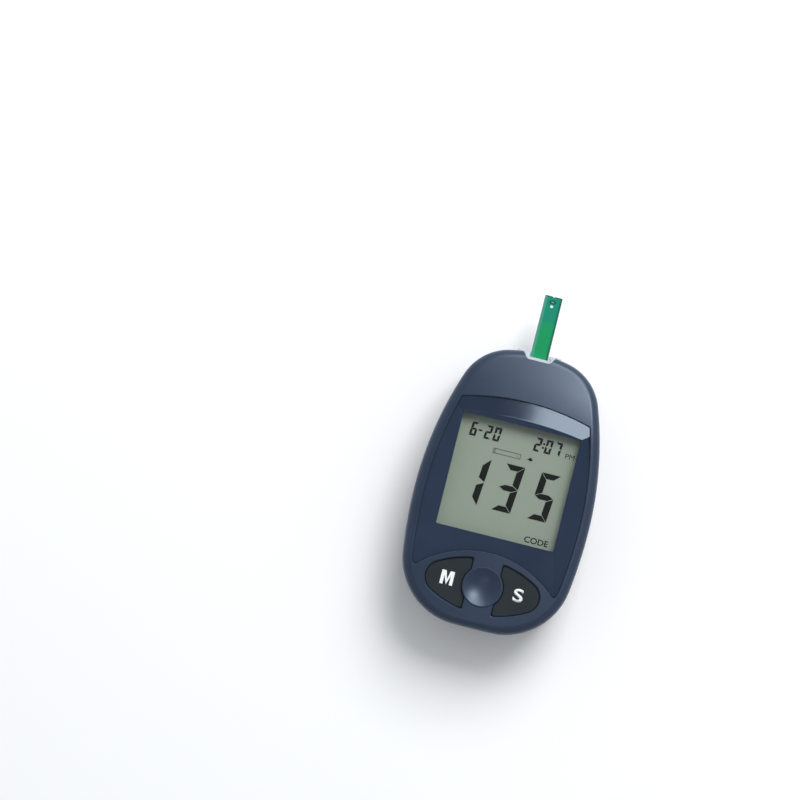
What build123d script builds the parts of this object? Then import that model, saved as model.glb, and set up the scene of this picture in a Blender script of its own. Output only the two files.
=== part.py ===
from build123d import *
import math
import os

# A handheld blood glucose meter, lying on its back with a test strip in its port.
# Millimetres. +Z is out of the face, +Y is towards the strip, +X is to the right.
# The origin is on the flat back face, in the middle of the body's length and width.

os.makedirs("parts", exist_ok=True)

# ---------------------------------------------------------------- body outline
body_length = 85.0
body_width = 54.0
body_height = 20.5
widest_y = -5.5
top_end_radius = 40.5
top_corner_radius = 15.9
top_flank_radius = 110.0
bottom_end_radius = 280.0
bottom_corner_radius = 20.3
bottom_flank_radius = 140.0

# ---------------------------------------------------------------- face and shells
crown_radius = 260.0
brow_radius = 100.0
brow_run = 22.5
edge_round = 2.8
back_edge_round = 4.5
hollow_bevel = 1.5
back_draft = 4.0
wall = 2.0
parting_z = 9.5
parting_gap = 0.3
lip_thickness = 0.9
lip_height = 1.2
lip_clearance = 0.1
overrun = 3.0

# ---------------------------------------------------------------- display
window_from_side = 8.9
window_from_panel_top = 7.1
window_from_panel_bottom = 4.9
window_round = 0.4
panel_margin = 3.0
panel_from_end = 15.3
panel_from_keys = 2.15
panel_top_radius = 73.6
panel_bottom_radius = 30.5
panel_corner_round = 0.8
panel_edge_break = 0.25
panel_depth = 3.3
panel_clearance = 0.12
frame_step = 0.25
frame_lip = 1.1
band_radius = 116.0
band_gap = 1.5
band_slope = 0.23
band_foot_round = 5.0
frame_side_slope = 0.2
frame_foot_slope = 0.05
ledge_thickness = 1.3
lens_thickness = 0.8
lens_overlap = 1.0
lens_clearance = 0.1
glass_side_border = 1.7
glass_end_border = 1.0
glass_thickness = 1.0
contact_ledge = 2.6
glass_clearance = 0.1
zebra_width = 2.0
zebra_inset = 1.8
holder_wall = 0.9

# ---------------------------------------------------------------- keys and thumb dish
key_from_end = 12.9
key_from_side = 9.4
key_half_height = 8.25
key_end_radius = 4.9
bridge_width = 9.0
dish_radius = 5.7
dish_pad_radius = 6.1
dish_ring_radius = 6.2
dish_depth = 1.2
dish_rise = 0.25
dish_seat = 0.6
dish_edge_break = 0.2
key_corner_round = 0.5
key_edge_break = 0.4
key_clearance = 0.25
key_sink = 0.4
key_flange = 0.6
key_flange_thickness = 0.9
key_flange_gap = 0.3
key_stem_radius = 3.2
key_travel = 0.7
pill_radius = 2.6
pill_thickness = 0.45
pill_rest_gap = 0.1
mat_thickness = 1.2
mat_inset = 1.1
mat_hole_clearance = 0.4
key_ceiling_z = 18.3
brow_ceiling_z = 18.2
brow_ceiling_slope = 0.1
pocket_inset = 3.6
pocket_wall = 1.0

# ---------------------------------------------------------------- board and screws
board_thickness = 1.0
board_inset = 2.7
board_from_end = 5.9
boss_radius = 2.2
boss_clearance = 0.3
upper_screw_from_side = 13.5
upper_screw_from_end = 13.5
lower_screw_from_side = 8.8
lower_screw_from_end = 18.7
case_screw_radius = 1.0
case_screw_length = 11.5
case_screw_head_radius = 1.8
case_screw_head_height = 1.3
case_screw_head_z = 1.6
post_radius = 1.8
upper_post_from_side = 9.2
upper_post_from_end = 17.5
lower_post_from_side = 5.6
lower_post_from_end = 21.6
board_screw_radius = 0.8
board_screw_length = 4.0
board_screw_head_radius = 1.5
board_screw_head_height = 0.9
screw_clearance = 0.15
thread_clearance = 0.03
tip_clearance = 0.4
recess_width = 0.5

controller_x = 6.0
controller_above_chip = 1.0
chip_body_size = 10.0
chip_body_height = 1.4
chip_body_bevel = 0.2
lead_length = 0.9
lead_width = 0.3
lead_height = 0.3
lead_pitch = 0.8
lead_count = 11
crystal_from_side = 10.0
crystal_radius = 1.0
crystal_length = 6.0
components_below_chip = 10.0
component_length = 1.6
component_width = 0.8
component_height = 0.7
component_pitch = 2.6
component_columns = 5
component_rows = 2

# ---------------------------------------------------------------- strip port
strip_width = 5.4
strip_length = 33.0
strip_reach = 17.8
strip_base_thickness = 0.35
strip_cover_thickness = 0.2
strip_cover_length = 24.0
strip_cover_inset = 0.25
strip_track_thickness = 0.05
strip_track_width = 0.8
strip_track_count = 4
strip_z = 12.1
strip_clearance = 0.2
strip_tip_round = 0.2
vent_radius = 0.5
vent_from_tip = 3.0
sample_notch_radius = 0.3
port_block_width = 9.4
port_block_wall = 1.1
port_block_length = 9.6
port_contact_width = 0.5
holder_width = 13.4
holder_bottom_z = 9.55
holder_top_z = 15.0
holder_depth = 5.5
holder_clearance = 0.15
holder_mouth_width = 7.2
holder_mouth_depth = 1.5
holder_round = 1.0
notch_mouth_width = 10.4
notch_floor_width = 7.0
notch_round = 1.2
notch_depth = 2.45

# ---------------------------------------------------------------- battery
cell_radius = 10.0
cell_thickness = 3.2
cell_from_end = 23.5
cell_z = 1.7
cell_clearance = 0.25
well_wall = 1.3
well_roof = 1.0
contact_metal = 0.3
contact_width = 4.0
contact_gap = 0.05
contact_clearance = 0.2
contact_play = 0.2
leaf_play = 0.15
leaf_before_cell = 5.0
leaf_after_cell = 6.5
cell_step = 0.4
cell_rim = 1.1
cover_width = 25.0
cover_length = 28.0
cover_thickness = 1.3
cover_recess = 0.1
cover_round = 3.0
cover_clearance = 0.15
thumb_notch_width = 9.0
thumb_notch_length = 3.0
cover_rib_width = 1.2
grip_from_end = 4.0
grip_pitch = 1.4
grip_width = 0.6
grip_count = 3
grip_depth = 0.3

# ---------------------------------------------------------------- code chip and data jack
chip_from_end = 30.5
chip_width = 12.0
chip_thickness = 3.4
chip_z = 5.0
chip_length = 12.0
chip_clearance = 0.2
chip_recess = 0.3
socket_wall = 0.8
socket_depth = 4.5
chip_round = 0.5
code_contact_pitch = 2.0
code_contact_count = 5
jack_z = 7.2
jack_bore_radius = 1.27
jack_bore_length = 10.5
jack_collar_radius = 2.3
jack_body_width = 6.4
jack_clearance = 0.2
jack_sink = 0.4
jack_collar_length = 2.1
jack_length = 11.2

# ---------------------------------------------------------------- places worked out
side_x = body_width / 2
strip_end_y = body_length / 2
lower_end_y = -body_length / 2
crown_top_y = strip_end_y - brow_run
key_y = lower_end_y + key_from_end
key_half_length = side_x - key_from_side
key_stem_x = (bridge_width / 2 + key_half_length) / 2
panel_top_y = strip_end_y - panel_from_end
panel_bottom_y = key_y + key_half_height + panel_from_keys
window_top_y = panel_top_y - window_from_panel_top
window_bottom_y = panel_bottom_y + window_from_panel_bottom
window_y = (window_top_y + window_bottom_y) / 2
window_width = body_width - 2 * window_from_side
window_height = window_top_y - window_bottom_y
glass_width = window_width + 2 * glass_side_border
glass_length = window_height + contact_ledge + 2 * glass_end_border
glass_top_y = window_top_y + glass_end_border
glass_y = glass_top_y - glass_length / 2
zebra_length = glass_width - 2 * zebra_inset
board_top_y = strip_end_y - board_from_end
chip_y = strip_end_y - chip_from_end
chip_inner_x = chip_length - side_x
controller_center = (controller_x, chip_y + controller_above_chip)
crystal_center = (side_x - crystal_from_side, chip_y)
component_center = (controller_x, chip_y - components_below_chip)
cell_y = lower_end_y + cell_from_end
leaf_start_y = cell_y - leaf_before_cell
leaf_end_y = cell_y + leaf_after_cell
jack_face_y = lower_end_y + jack_sink
jack_wall_y = jack_face_y + jack_collar_length
jack_inner_y = jack_face_y + jack_length
strip_tip_y = strip_end_y + strip_reach
strip_inner_y = strip_tip_y - strip_length
holder_inner_y = strip_end_y - holder_depth
holder_mouth_y = strip_end_y - holder_mouth_depth
notch_floor_y = strip_end_y - notch_depth

# ---------------------------------------------------------------- heights worked out
front_rim_z = parting_z + parting_gap / 2
back_rim_z = parting_z - parting_gap / 2
board_z = parting_z + parting_gap
board_top_z = board_z + board_thickness
panel_floor_z = body_height - panel_depth
ledge_z = panel_floor_z - ledge_thickness
frame_lip_z = panel_floor_z + frame_lip
upper_glass_z = ledge_z - parting_gap - glass_thickness
lower_glass_z = upper_glass_z - glass_thickness
roof_z = cell_z + cell_thickness + contact_metal + leaf_play
screw_seat_z = case_screw_head_z + case_screw_head_height
screw_end_z = screw_seat_z + case_screw_length


def four_corners(upper_from_side, upper_from_end, lower_from_side, lower_from_end):
    """A pair of points near the strip end and a pair near the lower end."""
    upper_x = side_x - upper_from_side
    upper_y = strip_end_y - upper_from_end
    lower_x = side_x - lower_from_side
    lower_y = lower_end_y + lower_from_end
    return [(upper_x, upper_y), (-upper_x, upper_y), (lower_x, lower_y), (-lower_x, lower_y)]


case_screw_points = four_corners(
    upper_screw_from_side, upper_screw_from_end, lower_screw_from_side, lower_screw_from_end
)
board_screw_points = four_corners(
    upper_post_from_side, upper_post_from_end, lower_post_from_side, lower_post_from_end
)


# ---------------------------------------------------------------- shared shapes
def end_curve(tip_y, end_radius, corner_radius, flank_radius):
    """Right half of one end of the outline, as three arcs that run into each other.

    The end arc starts level at the tip and the flank arc ends upright at the widest
    point. The corner arc is the circle that touches both of them from inside.
    """
    up = math.copysign(1.0, tip_y - widest_y)
    end_center = Vector(0, tip_y - up * end_radius)
    flank_center = Vector(side_x - flank_radius, widest_y)
    to_end = end_radius - corner_radius
    to_flank = flank_radius - corner_radius
    span = flank_center - end_center
    along = (to_end**2 - to_flank**2 + span.length**2) / (2 * span.length)
    across = math.sqrt(to_end**2 - along**2)
    direction = span.normalized()
    sideways = Vector(direction.Y, -direction.X) * up
    corner_center = end_center + direction * along + sideways * across
    from_end = corner_center - end_center
    from_flank = corner_center - flank_center
    first = math.degrees(math.atan2(from_end.Y, from_end.X))
    second = math.degrees(math.atan2(from_flank.Y, from_flank.X))
    CenterArc(end_center, end_radius, 90 * up, first - 90 * up)
    CenterArc(corner_center, corner_radius, first, second - first)
    CenterArc(flank_center, flank_radius, second, -second)


def body_outline(inset=0.0):
    """The body's outline seen from the face, drawn in by inset all round."""
    with BuildSketch() as shape:
        with BuildLine():
            end_curve(strip_end_y, top_end_radius, top_corner_radius, top_flank_radius)
            end_curve(
                lower_end_y, bottom_end_radius, bottom_corner_radius, bottom_flank_radius
            )
            mirror(about=Plane.YZ)
        make_face()
        if inset:
            offset(amount=-inset)
    return shape.sketch


def panel_outline(inset=0.0):
    """The display panel's shield: level arc above, arc over the keys below."""
    with BuildSketch() as shape:
        add(body_outline(panel_margin + inset))
        with Locations((0, panel_top_y - panel_top_radius)):
            Circle(panel_top_radius - inset, mode=Mode.INTERSECT)
        with Locations((0, panel_bottom_y - panel_bottom_radius)):
            Circle(panel_bottom_radius + inset, mode=Mode.SUBTRACT)
        fillet(shape.vertices().group_by(Axis.Y)[0], panel_corner_round)
    return shape.sketch


def under_crown(drop=0.0):
    """Everything below the crowned face, or below a surface that runs drop under it.

    The crown is an arc across the body. It runs straight up to the brow, where it is turned
    about a level axis below it, so that the brow falls away to the strip end.
    """
    half = side_x + overrun
    top = body_height - drop
    edge = body_height - crown_radius + math.sqrt((crown_radius - drop) ** 2 - half**2)
    brow_axis = Axis((0, crown_top_y, body_height - brow_radius), (1, 0, 0))
    brow_turn = math.atan((brow_run + overrun) / (brow_radius - body_height + front_rim_z))
    with BuildPart() as block:
        with BuildSketch(Plane.XZ.offset(-crown_top_y)) as profile:
            with BuildLine():
                Polyline((half, edge), (half, -overrun), (-half, -overrun), (-half, edge))
                ThreePointArc((-half, edge), (0, top), (half, edge))
            make_face()
        extrude(amount=crown_top_y - lower_end_y + overrun)
        revolve(profile.sketch, axis=brow_axis, revolution_arc=-math.degrees(brow_turn))
    return block.part


def crown_plane(x, y):
    """The plane that touches the crown over the point (x, y), below the brow."""
    lean = math.asin(x / crown_radius)
    outward = Vector(math.sin(lean), 0, math.cos(lean))
    point = Vector(0, y, body_height - crown_radius) + outward * crown_radius
    return Plane(point, x_dir=(math.cos(lean), 0, -math.sin(lean)), z_dir=outward)


def key_oval(grow=0.0):
    """The oval round both keys, of two flat arcs and two end arcs that run into each other."""
    end = key_end_radius + grow
    rise = key_half_height + grow
    run = key_half_length - key_end_radius
    flat = (run**2 + rise**2 - end**2) / (2 * (rise - end))
    joint = math.degrees(math.atan2(flat - rise, run))
    with BuildSketch() as oval:
        with BuildLine():
            CenterArc((run, 0), end, -joint, 2 * joint)
            CenterArc((0, rise - flat), flat, joint, 180 - 2 * joint)
            CenterArc((-run, 0), end, 180 - joint, 2 * joint)
            CenterArc((0, flat - rise), flat, 180 + joint, 180 - 2 * joint)
        make_face()
    return oval.sketch


def key_shape(side, grow=0.0):
    """One key's outline: half the oval, less the middle bridge and the dish ring."""
    with BuildSketch() as shape:
        with Locations((0, key_y)):
            add(key_oval(grow))
            Rectangle(bridge_width - 2 * grow, body_width, mode=Mode.SUBTRACT)
            Circle(dish_ring_radius - grow, mode=Mode.SUBTRACT)
        with Locations((side * side_x, key_y)):
            Rectangle(body_width, body_width, mode=Mode.INTERSECT)
        fillet(shape.vertices(), key_corner_round)
    return shape.sketch


def key_flare(side):
    """The cutter that breaks the edge round one key opening, square to the face there."""
    touching = crown_plane(side * key_stem_x, key_y)
    with BuildPart() as cutter:
        with BuildSketch(touching.offset(-key_edge_break)):
            with Locations((-side * key_stem_x, -key_y)):
                add(key_shape(side))
        with BuildSketch(touching.offset(key_edge_break)):
            with Locations((-side * key_stem_x, -key_y)):
                add(key_shape(side, 2 * key_edge_break))
        loft(ruled=True)
    return cutter.part


outline = body_outline()
cavity_outline = body_outline(wall)
pocket_outline = body_outline(pocket_inset)
crown = under_crown()
dish_plane = crown_plane(0, key_y)
key_sides = (-1, 1)

# ---------------------------------------------------------------- thumb dish, part of the face
# A round pad that stands a little proud of the crown, and the large ball that hollows it.
dish_ball_radius = (dish_radius**2 + dish_depth**2) / (2 * dish_depth)
dish_ball_lift = dish_ball_radius - dish_depth + dish_rise

with BuildPart() as dish_pad:
    with BuildSketch(dish_plane.offset(-dish_seat)):
        Circle(dish_pad_radius)
    extrude(amount=dish_seat + dish_rise)
    chamfer(dish_pad.faces().sort_by(Axis.Z)[-1].edges(), dish_edge_break)

with BuildPart() as dish_ball:
    with Locations(dish_plane.origin + dish_plane.z_dir * dish_ball_lift):
        Sphere(dish_ball_radius, rotation=(90, 0, 0))

# ---------------------------------------------------------------- hollow over the display frame
# Its floor is level round the window. It rises in shallow slopes to the sides and to the
# arc over the keys, and in a steeper conical band to the brow.
band_foot_y = window_top_y + band_gap
band_axis_y = band_foot_y - band_radius
band_end_y = panel_top_y + overrun
sky_z = body_height + overrun
band_rise_z = frame_lip_z + band_slope * (band_end_y - band_foot_y)
foot_rise_z = frame_lip_z + frame_foot_slope * (window_bottom_y - lower_end_y)
side_rise_z = frame_lip_z + frame_side_slope * (side_x - window_width / 2)

with BuildPart() as display_hollow:
    with BuildSketch(Plane.YZ):
        Polygon(
            (band_end_y, frame_lip_z),
            (window_bottom_y, frame_lip_z),
            (lower_end_y, foot_rise_z),
            (lower_end_y, sky_z),
            (band_end_y, sky_z),
            align=None,
        )
    extrude(amount=side_x, both=True)
    with BuildSketch(Plane.XZ):
        Polygon(
            (-window_width / 2, frame_lip_z),
            (window_width / 2, frame_lip_z),
            (side_x, side_rise_z),
            (side_x, sky_z),
            (-side_x, sky_z),
            (-side_x, side_rise_z),
            align=None,
        )
    extrude(amount=body_length, both=True, mode=Mode.INTERSECT)
    with BuildSketch(Plane.YZ) as band_profile:
        Polygon(
            (band_axis_y, frame_lip_z),
            (band_foot_y, frame_lip_z),
            (band_end_y, band_rise_z),
            (band_end_y, sky_z),
            (band_axis_y, sky_z),
            align=None,
        )
        band_foot = band_profile.vertices().sort_by_distance((0, band_foot_y, frame_lip_z))[0]
        fillet(band_foot, band_foot_round)
    revolve(axis=Axis((0, band_axis_y, 0), (0, 0, 1)), mode=Mode.INTERSECT)

# ---------------------------------------------------------------- pocket behind the brow
# Its ceiling slopes down to the strip end, under the falling brow.
pocket_end_z = brow_ceiling_z - brow_ceiling_slope * (strip_end_y - panel_top_y)

with BuildPart() as brow_pocket:
    with BuildSketch(Plane.XY.offset(ledge_z)):
        add(pocket_outline)
        with Locations((0, panel_top_y - panel_top_radius)):
            Circle(panel_top_radius + pocket_wall, mode=Mode.SUBTRACT)
    extrude(amount=brow_ceiling_z - ledge_z)
    with BuildSketch(Plane.YZ):
        Polygon(
            (0, ledge_z),
            (strip_end_y, ledge_z),
            (strip_end_y, pocket_end_z),
            (panel_top_y, brow_ceiling_z),
            (0, brow_ceiling_z),
            align=None,
        )
    extrude(amount=side_x, both=True, mode=Mode.INTERSECT)


# ---------------------------------------------------------------- front case
def on_rim(edge):
    """Whether an edge runs round the face, which the seam across the face doesn't."""
    middle = edge.center()
    across = abs(middle.X) < wall and abs(middle.Y - crown_top_y) < wall
    return middle.Z > ledge_z + wall / 2 and not across


with BuildPart() as front_case:
    with BuildSketch(Plane.XY.offset(front_rim_z)):
        add(outline)
    extrude(amount=body_height - front_rim_z + overrun)
    add(crown, mode=Mode.INTERSECT)
    fillet(front_case.edges().filter_by(on_rim), edge_round)

    # Shield recess for the display frame, its edge broken at the face.
    with BuildSketch(Plane.XY.offset(panel_floor_z)):
        add(panel_outline())
    extrude(amount=body_height, mode=Mode.SUBTRACT)
    chamfer(front_case.edges(Select.LAST).filter_by(GeomType.BSPLINE), panel_edge_break)

    # Main cavity, with higher pockets behind the brow and behind the keys.
    with BuildSketch(Plane.XY.offset(front_rim_z)):
        add(cavity_outline)
    extrude(amount=ledge_z - front_rim_z, mode=Mode.SUBTRACT)
    add(brow_pocket.part, mode=Mode.SUBTRACT)
    with BuildSketch(Plane.XY.offset(ledge_z)):
        add(pocket_outline)
        with Locations((0, panel_bottom_y - panel_bottom_radius)):
            Circle(panel_bottom_radius - pocket_wall, mode=Mode.INTERSECT)
    extrude(amount=key_ceiling_z - ledge_z, mode=Mode.SUBTRACT)

    # Rebate for the back case's lip.
    with BuildSketch(Plane.XY.offset(front_rim_z)):
        add(body_outline(wall - lip_thickness - lip_clearance))
    extrude(amount=lip_height, mode=Mode.SUBTRACT)

    # Seat for the lens in the recess's floor, and the window.
    with BuildSketch(Plane.XY.offset(panel_floor_z)):
        with Locations((0, window_y)):
            Rectangle(
                window_width + 2 * (lens_overlap + lens_clearance),
                window_height + 2 * (lens_overlap + lens_clearance),
            )
    extrude(amount=-lens_thickness, mode=Mode.SUBTRACT)
    with BuildSketch(Plane.XY.offset(ledge_z)):
        with Locations((0, window_y)):
            Rectangle(window_width + 2 * lens_clearance, window_height + 2 * lens_clearance)
    extrude(amount=ledge_thickness, mode=Mode.SUBTRACT)

    # Key openings, flared at the face, and the thumb dish between them.
    for side in key_sides:
        with BuildSketch(Plane.XY.offset(key_ceiling_z)):
            add(key_shape(side))
        extrude(amount=body_height - key_ceiling_z, mode=Mode.SUBTRACT)
        add(key_flare(side), mode=Mode.SUBTRACT)
    add(dish_pad.part)
    add(dish_ball.part, mode=Mode.SUBTRACT)

    # Screw bosses from the brow and the ledge down to the parting line, and board posts.
    with BuildSketch(Plane.XY.offset(front_rim_z)):
        with Locations(*case_screw_points):
            Circle(boss_radius)
        with Locations((0, panel_top_y - panel_top_radius)):
            Circle(panel_top_radius + pocket_wall, mode=Mode.INTERSECT)
    extrude(amount=ledge_z - front_rim_z)
    with BuildSketch(Plane.XY.offset(front_rim_z)):
        with Locations(*case_screw_points[:2]):
            Circle(boss_radius)
    extrude(amount=brow_ceiling_z - front_rim_z)
    with BuildSketch(Plane.XY.offset(board_top_z)):
        with Locations(*board_screw_points):
            Circle(post_radius)
    extrude(amount=ledge_z - board_top_z)
    with BuildSketch(Plane.XY.offset(front_rim_z)):
        with Locations(*case_screw_points):
            Circle(case_screw_radius + thread_clearance)
    extrude(amount=screw_end_z + tip_clearance - front_rim_z, mode=Mode.SUBTRACT)
    with BuildSketch(Plane.XY.offset(board_top_z)):
        with Locations(*board_screw_points):
            Circle(board_screw_radius + thread_clearance)
    extrude(amount=board_screw_length - board_thickness + tip_clearance, mode=Mode.SUBTRACT)

    # Opening for the strip holder in the top wall, and the notch over it in the brow's edge.
    with BuildSketch(Plane.XZ.offset(-holder_inner_y)):
        with Locations((0, (front_rim_z + holder_top_z + holder_clearance) / 2)):
            Rectangle(
                holder_width + 2 * holder_clearance,
                holder_top_z + holder_clearance - front_rim_z,
            )
    extrude(amount=-(holder_depth + overrun), mode=Mode.SUBTRACT)
    with BuildSketch(Plane.XY.offset(holder_top_z)):
        with BuildLine():
            Polyline(
                (-notch_floor_width / 2, notch_floor_y),
                (notch_floor_width / 2, notch_floor_y),
                (notch_mouth_width / 2, strip_end_y),
                (notch_mouth_width / 2, strip_end_y + overrun),
                (-notch_mouth_width / 2, strip_end_y + overrun),
                (-notch_mouth_width / 2, strip_end_y),
                close=True,
            )
        notch = make_face()
        fillet(notch.vertices().group_by(Axis.Y)[0], notch_round)
    extrude(amount=body_height, mode=Mode.SUBTRACT)

front_case.part.label = "front_case"
export_step(front_case.part, "parts/front_case.step")

# ---------------------------------------------------------------- hollow inside the back case
draft_run = math.tan(math.radians(back_draft))

with BuildPart() as back_hollow:
    with BuildSketch(Plane.XY.offset(wall)):
        add(body_outline(wall + (back_rim_z - wall) * draft_run))
    extrude(amount=back_rim_z - wall, taper=-back_draft)
    chamfer(back_hollow.faces().sort_by(Axis.Z)[0].edges(), hollow_bevel)

# ---------------------------------------------------------------- back case
cover_pocket_depth = cover_recess + cover_thickness + cover_clearance
well_radius = cell_radius + cell_clearance
clip_x = cell_radius + contact_gap
clip_slot_width = contact_width + 2 * contact_clearance
slot_height = chip_thickness + 2 * chip_clearance
slot_z = chip_z + chip_thickness / 2
screw_head_bore = case_screw_head_radius + screw_clearance

with BuildPart() as back_case:
    with BuildSketch():
        add(body_outline(back_rim_z * draft_run))
    extrude(amount=back_rim_z, taper=-back_draft)
    fillet(back_case.faces().sort_by(Axis.Z)[0].edges(), back_edge_round)
    add(back_hollow.part, mode=Mode.SUBTRACT)

    # Lip that stands inside the front case, left out across the strip holder.
    with BuildSketch(Plane.XY.offset(back_rim_z - lip_height)):
        add(body_outline(wall - lip_thickness))
        add(body_outline(wall), mode=Mode.SUBTRACT)
        with Locations((0, strip_end_y)):
            Rectangle(holder_width + 2 * lip_height, body_width, mode=Mode.SUBTRACT)
    extrude(amount=2 * lip_height)

    # Screw bosses, and the roofed well that holds the coin cell.
    with BuildSketch(Plane.XY.offset(wall)):
        with Locations(*case_screw_points):
            Circle(boss_radius)
    extrude(amount=back_rim_z - wall)
    with BuildSketch(Plane.XY.offset(cover_pocket_depth)):
        with Locations((0, cell_y)):
            Circle(well_radius + well_wall)
    extrude(amount=roof_z + well_roof - cover_pocket_depth)
    with BuildSketch(Plane.XY.offset(cover_pocket_depth)):
        with Locations((0, cell_y)):
            Circle(well_radius)
    extrude(amount=roof_z - cover_pocket_depth, mode=Mode.SUBTRACT)

    # Recess for the cover, with a thumb notch at its lower end.
    with BuildSketch():
        with Locations((0, cell_y)):
            RectangleRounded(
                cover_width + 2 * cover_clearance,
                cover_length + 2 * cover_clearance,
                cover_round + cover_clearance,
            )
    extrude(amount=cover_pocket_depth, mode=Mode.SUBTRACT)
    with BuildSketch():
        with Locations((0, cell_y - cover_length / 2)):
            SlotOverall(thumb_notch_width, thumb_notch_length)
    extrude(amount=cover_thickness, mode=Mode.SUBTRACT)

    # Slots through the well for the two battery contacts.
    with BuildSketch(Plane.XY.offset(cell_z)):
        with Locations((clip_x + contact_metal / 2, cell_y)):
            Rectangle(contact_metal + contact_play, clip_slot_width)
    extrude(amount=board_z - cell_z, mode=Mode.SUBTRACT)
    with BuildSketch(Plane.XY.offset(roof_z)):
        with Locations((0, leaf_end_y)):
            Rectangle(clip_slot_width, contact_metal + contact_play)
    extrude(amount=board_z - roof_z, mode=Mode.SUBTRACT)

    # Holes for the case screws: a bore for the head below, a clearance hole above.
    with BuildSketch():
        with Locations(*case_screw_points):
            Circle(screw_head_bore)
    extrude(amount=screw_seat_z, mode=Mode.SUBTRACT)
    with BuildSketch(Plane.XY.offset(screw_seat_z)):
        with Locations(*case_screw_points):
            Circle(case_screw_radius + screw_clearance)
    extrude(amount=back_rim_z, mode=Mode.SUBTRACT)

    # Slot for the code chip in the left wall and hole for the jack in the lower end.
    with BuildSketch(Plane.YZ.offset(chip_inner_x)):
        with Locations((chip_y, slot_z)):
            Rectangle(chip_width + 2 * chip_clearance, slot_height)
    extrude(amount=-body_width / 2, mode=Mode.SUBTRACT)
    with BuildSketch(Plane.XZ.offset(-jack_inner_y)):
        with Locations((0, jack_z)):
            Circle(jack_collar_radius + jack_clearance)
    extrude(amount=jack_length + overrun, mode=Mode.SUBTRACT)

back_case.part.label = "back_case"
export_step(back_case.part, "parts/back_case.step")

# ---------------------------------------------------------------- display frame
with BuildPart() as display_frame:
    with BuildSketch(Plane.XY.offset(panel_floor_z)):
        add(panel_outline(panel_clearance))
    extrude(amount=panel_depth)
    add(under_crown(frame_step), mode=Mode.INTERSECT)
    add(display_hollow.part, mode=Mode.SUBTRACT)
    with BuildSketch(Plane.XY.offset(panel_floor_z)):
        with Locations((0, window_y)):
            RectangleRounded(window_width, window_height, window_round)
    extrude(amount=panel_depth, mode=Mode.SUBTRACT)

display_frame.part.label = "display_frame"
export_step(display_frame.part, "parts/display_frame.step")

# ---------------------------------------------------------------- display lens
with BuildPart() as display_lens:
    with BuildSketch(Plane.XY.offset(panel_floor_z - lens_thickness)):
        with Locations((0, window_y)):
            Rectangle(window_width + 2 * lens_overlap, window_height + 2 * lens_overlap)
    extrude(amount=lens_thickness)
    chamfer(display_lens.edges().filter_by(Axis.Z), lens_clearance)

display_lens.part.label = "display_lens"
export_step(display_lens.part, "parts/display_lens.step")

# ---------------------------------------------------------------- liquid crystal display
# The upper glass runs on past the lower one, and its bared edge meets the zebra strip.
with BuildPart() as lcd_panel:
    with BuildSketch(Plane.XY.offset(upper_glass_z)):
        with Locations((0, glass_y)):
            Rectangle(glass_width, glass_length)
    extrude(amount=glass_thickness)
    with BuildSketch(Plane.XY.offset(lower_glass_z)):
        with Locations((0, glass_y + contact_ledge / 2)):
            Rectangle(glass_width, glass_length - contact_ledge)
    extrude(amount=glass_thickness)

lcd_panel.part.label = "lcd_panel"
export_step(lcd_panel.part, "parts/lcd_panel.step")

# ---------------------------------------------------------------- zebra strip
zebra_y = glass_y - glass_length / 2 + contact_ledge / 2

with BuildPart() as zebra_strip:
    with BuildSketch(Plane.XY.offset(board_top_z)):
        with Locations((0, zebra_y)):
            Rectangle(zebra_length, zebra_width)
    extrude(amount=upper_glass_z - board_top_z)

zebra_strip.part.label = "zebra_strip"
export_step(zebra_strip.part, "parts/zebra_strip.step")

# ---------------------------------------------------------------- display holder
# A tray without a floor: the lower glass rests on its shelf, the zebra strip in its slot.
pocket_width = glass_width + 2 * glass_clearance
pocket_length = glass_length + 2 * glass_clearance
shelf_width = glass_width - 2 * holder_wall

with BuildPart() as lcd_holder:
    with BuildSketch(Plane.XY.offset(board_top_z)):
        with Locations((0, glass_y)):
            Rectangle(pocket_width + 2 * holder_wall, pocket_length + 2 * holder_wall)
    extrude(amount=ledge_z - glass_clearance - board_top_z)
    with BuildSketch(Plane.XY.offset(upper_glass_z)):
        with Locations((0, glass_y)):
            Rectangle(pocket_width, pocket_length)
    extrude(amount=panel_depth, mode=Mode.SUBTRACT)
    with BuildSketch(Plane.XY.offset(lower_glass_z)):
        with Locations((0, glass_y + contact_ledge / 2)):
            Rectangle(pocket_width, pocket_length - contact_ledge)
    extrude(amount=glass_thickness, mode=Mode.SUBTRACT)
    with BuildSketch(Plane.XY.offset(board_top_z)):
        with Locations((0, glass_y + contact_ledge / 2)):
            Rectangle(shelf_width, glass_length - contact_ledge - 2 * holder_wall)
        with Locations((0, zebra_y)):
            Rectangle(zebra_length + 2 * glass_clearance, zebra_width + 2 * glass_clearance)
    extrude(amount=upper_glass_z - board_top_z, mode=Mode.SUBTRACT)

lcd_holder.part.label = "lcd_holder"
export_step(lcd_holder.part, "parts/lcd_holder.step")

# ---------------------------------------------------------------- main board
with BuildPart() as main_board:
    with BuildSketch(Plane.XY.offset(board_z)):
        add(body_outline(board_inset))
        with Locations((0, board_top_y - body_length)):
            Rectangle(body_width, 2 * body_length, mode=Mode.INTERSECT)
        with Locations(*case_screw_points):
            Circle(boss_radius + boss_clearance, mode=Mode.SUBTRACT)
        with Locations(*board_screw_points):
            Circle(board_screw_radius + screw_clearance, mode=Mode.SUBTRACT)
    extrude(amount=board_thickness)

main_board.part.label = "main_board"
export_step(main_board.part, "parts/main_board.step")

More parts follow.
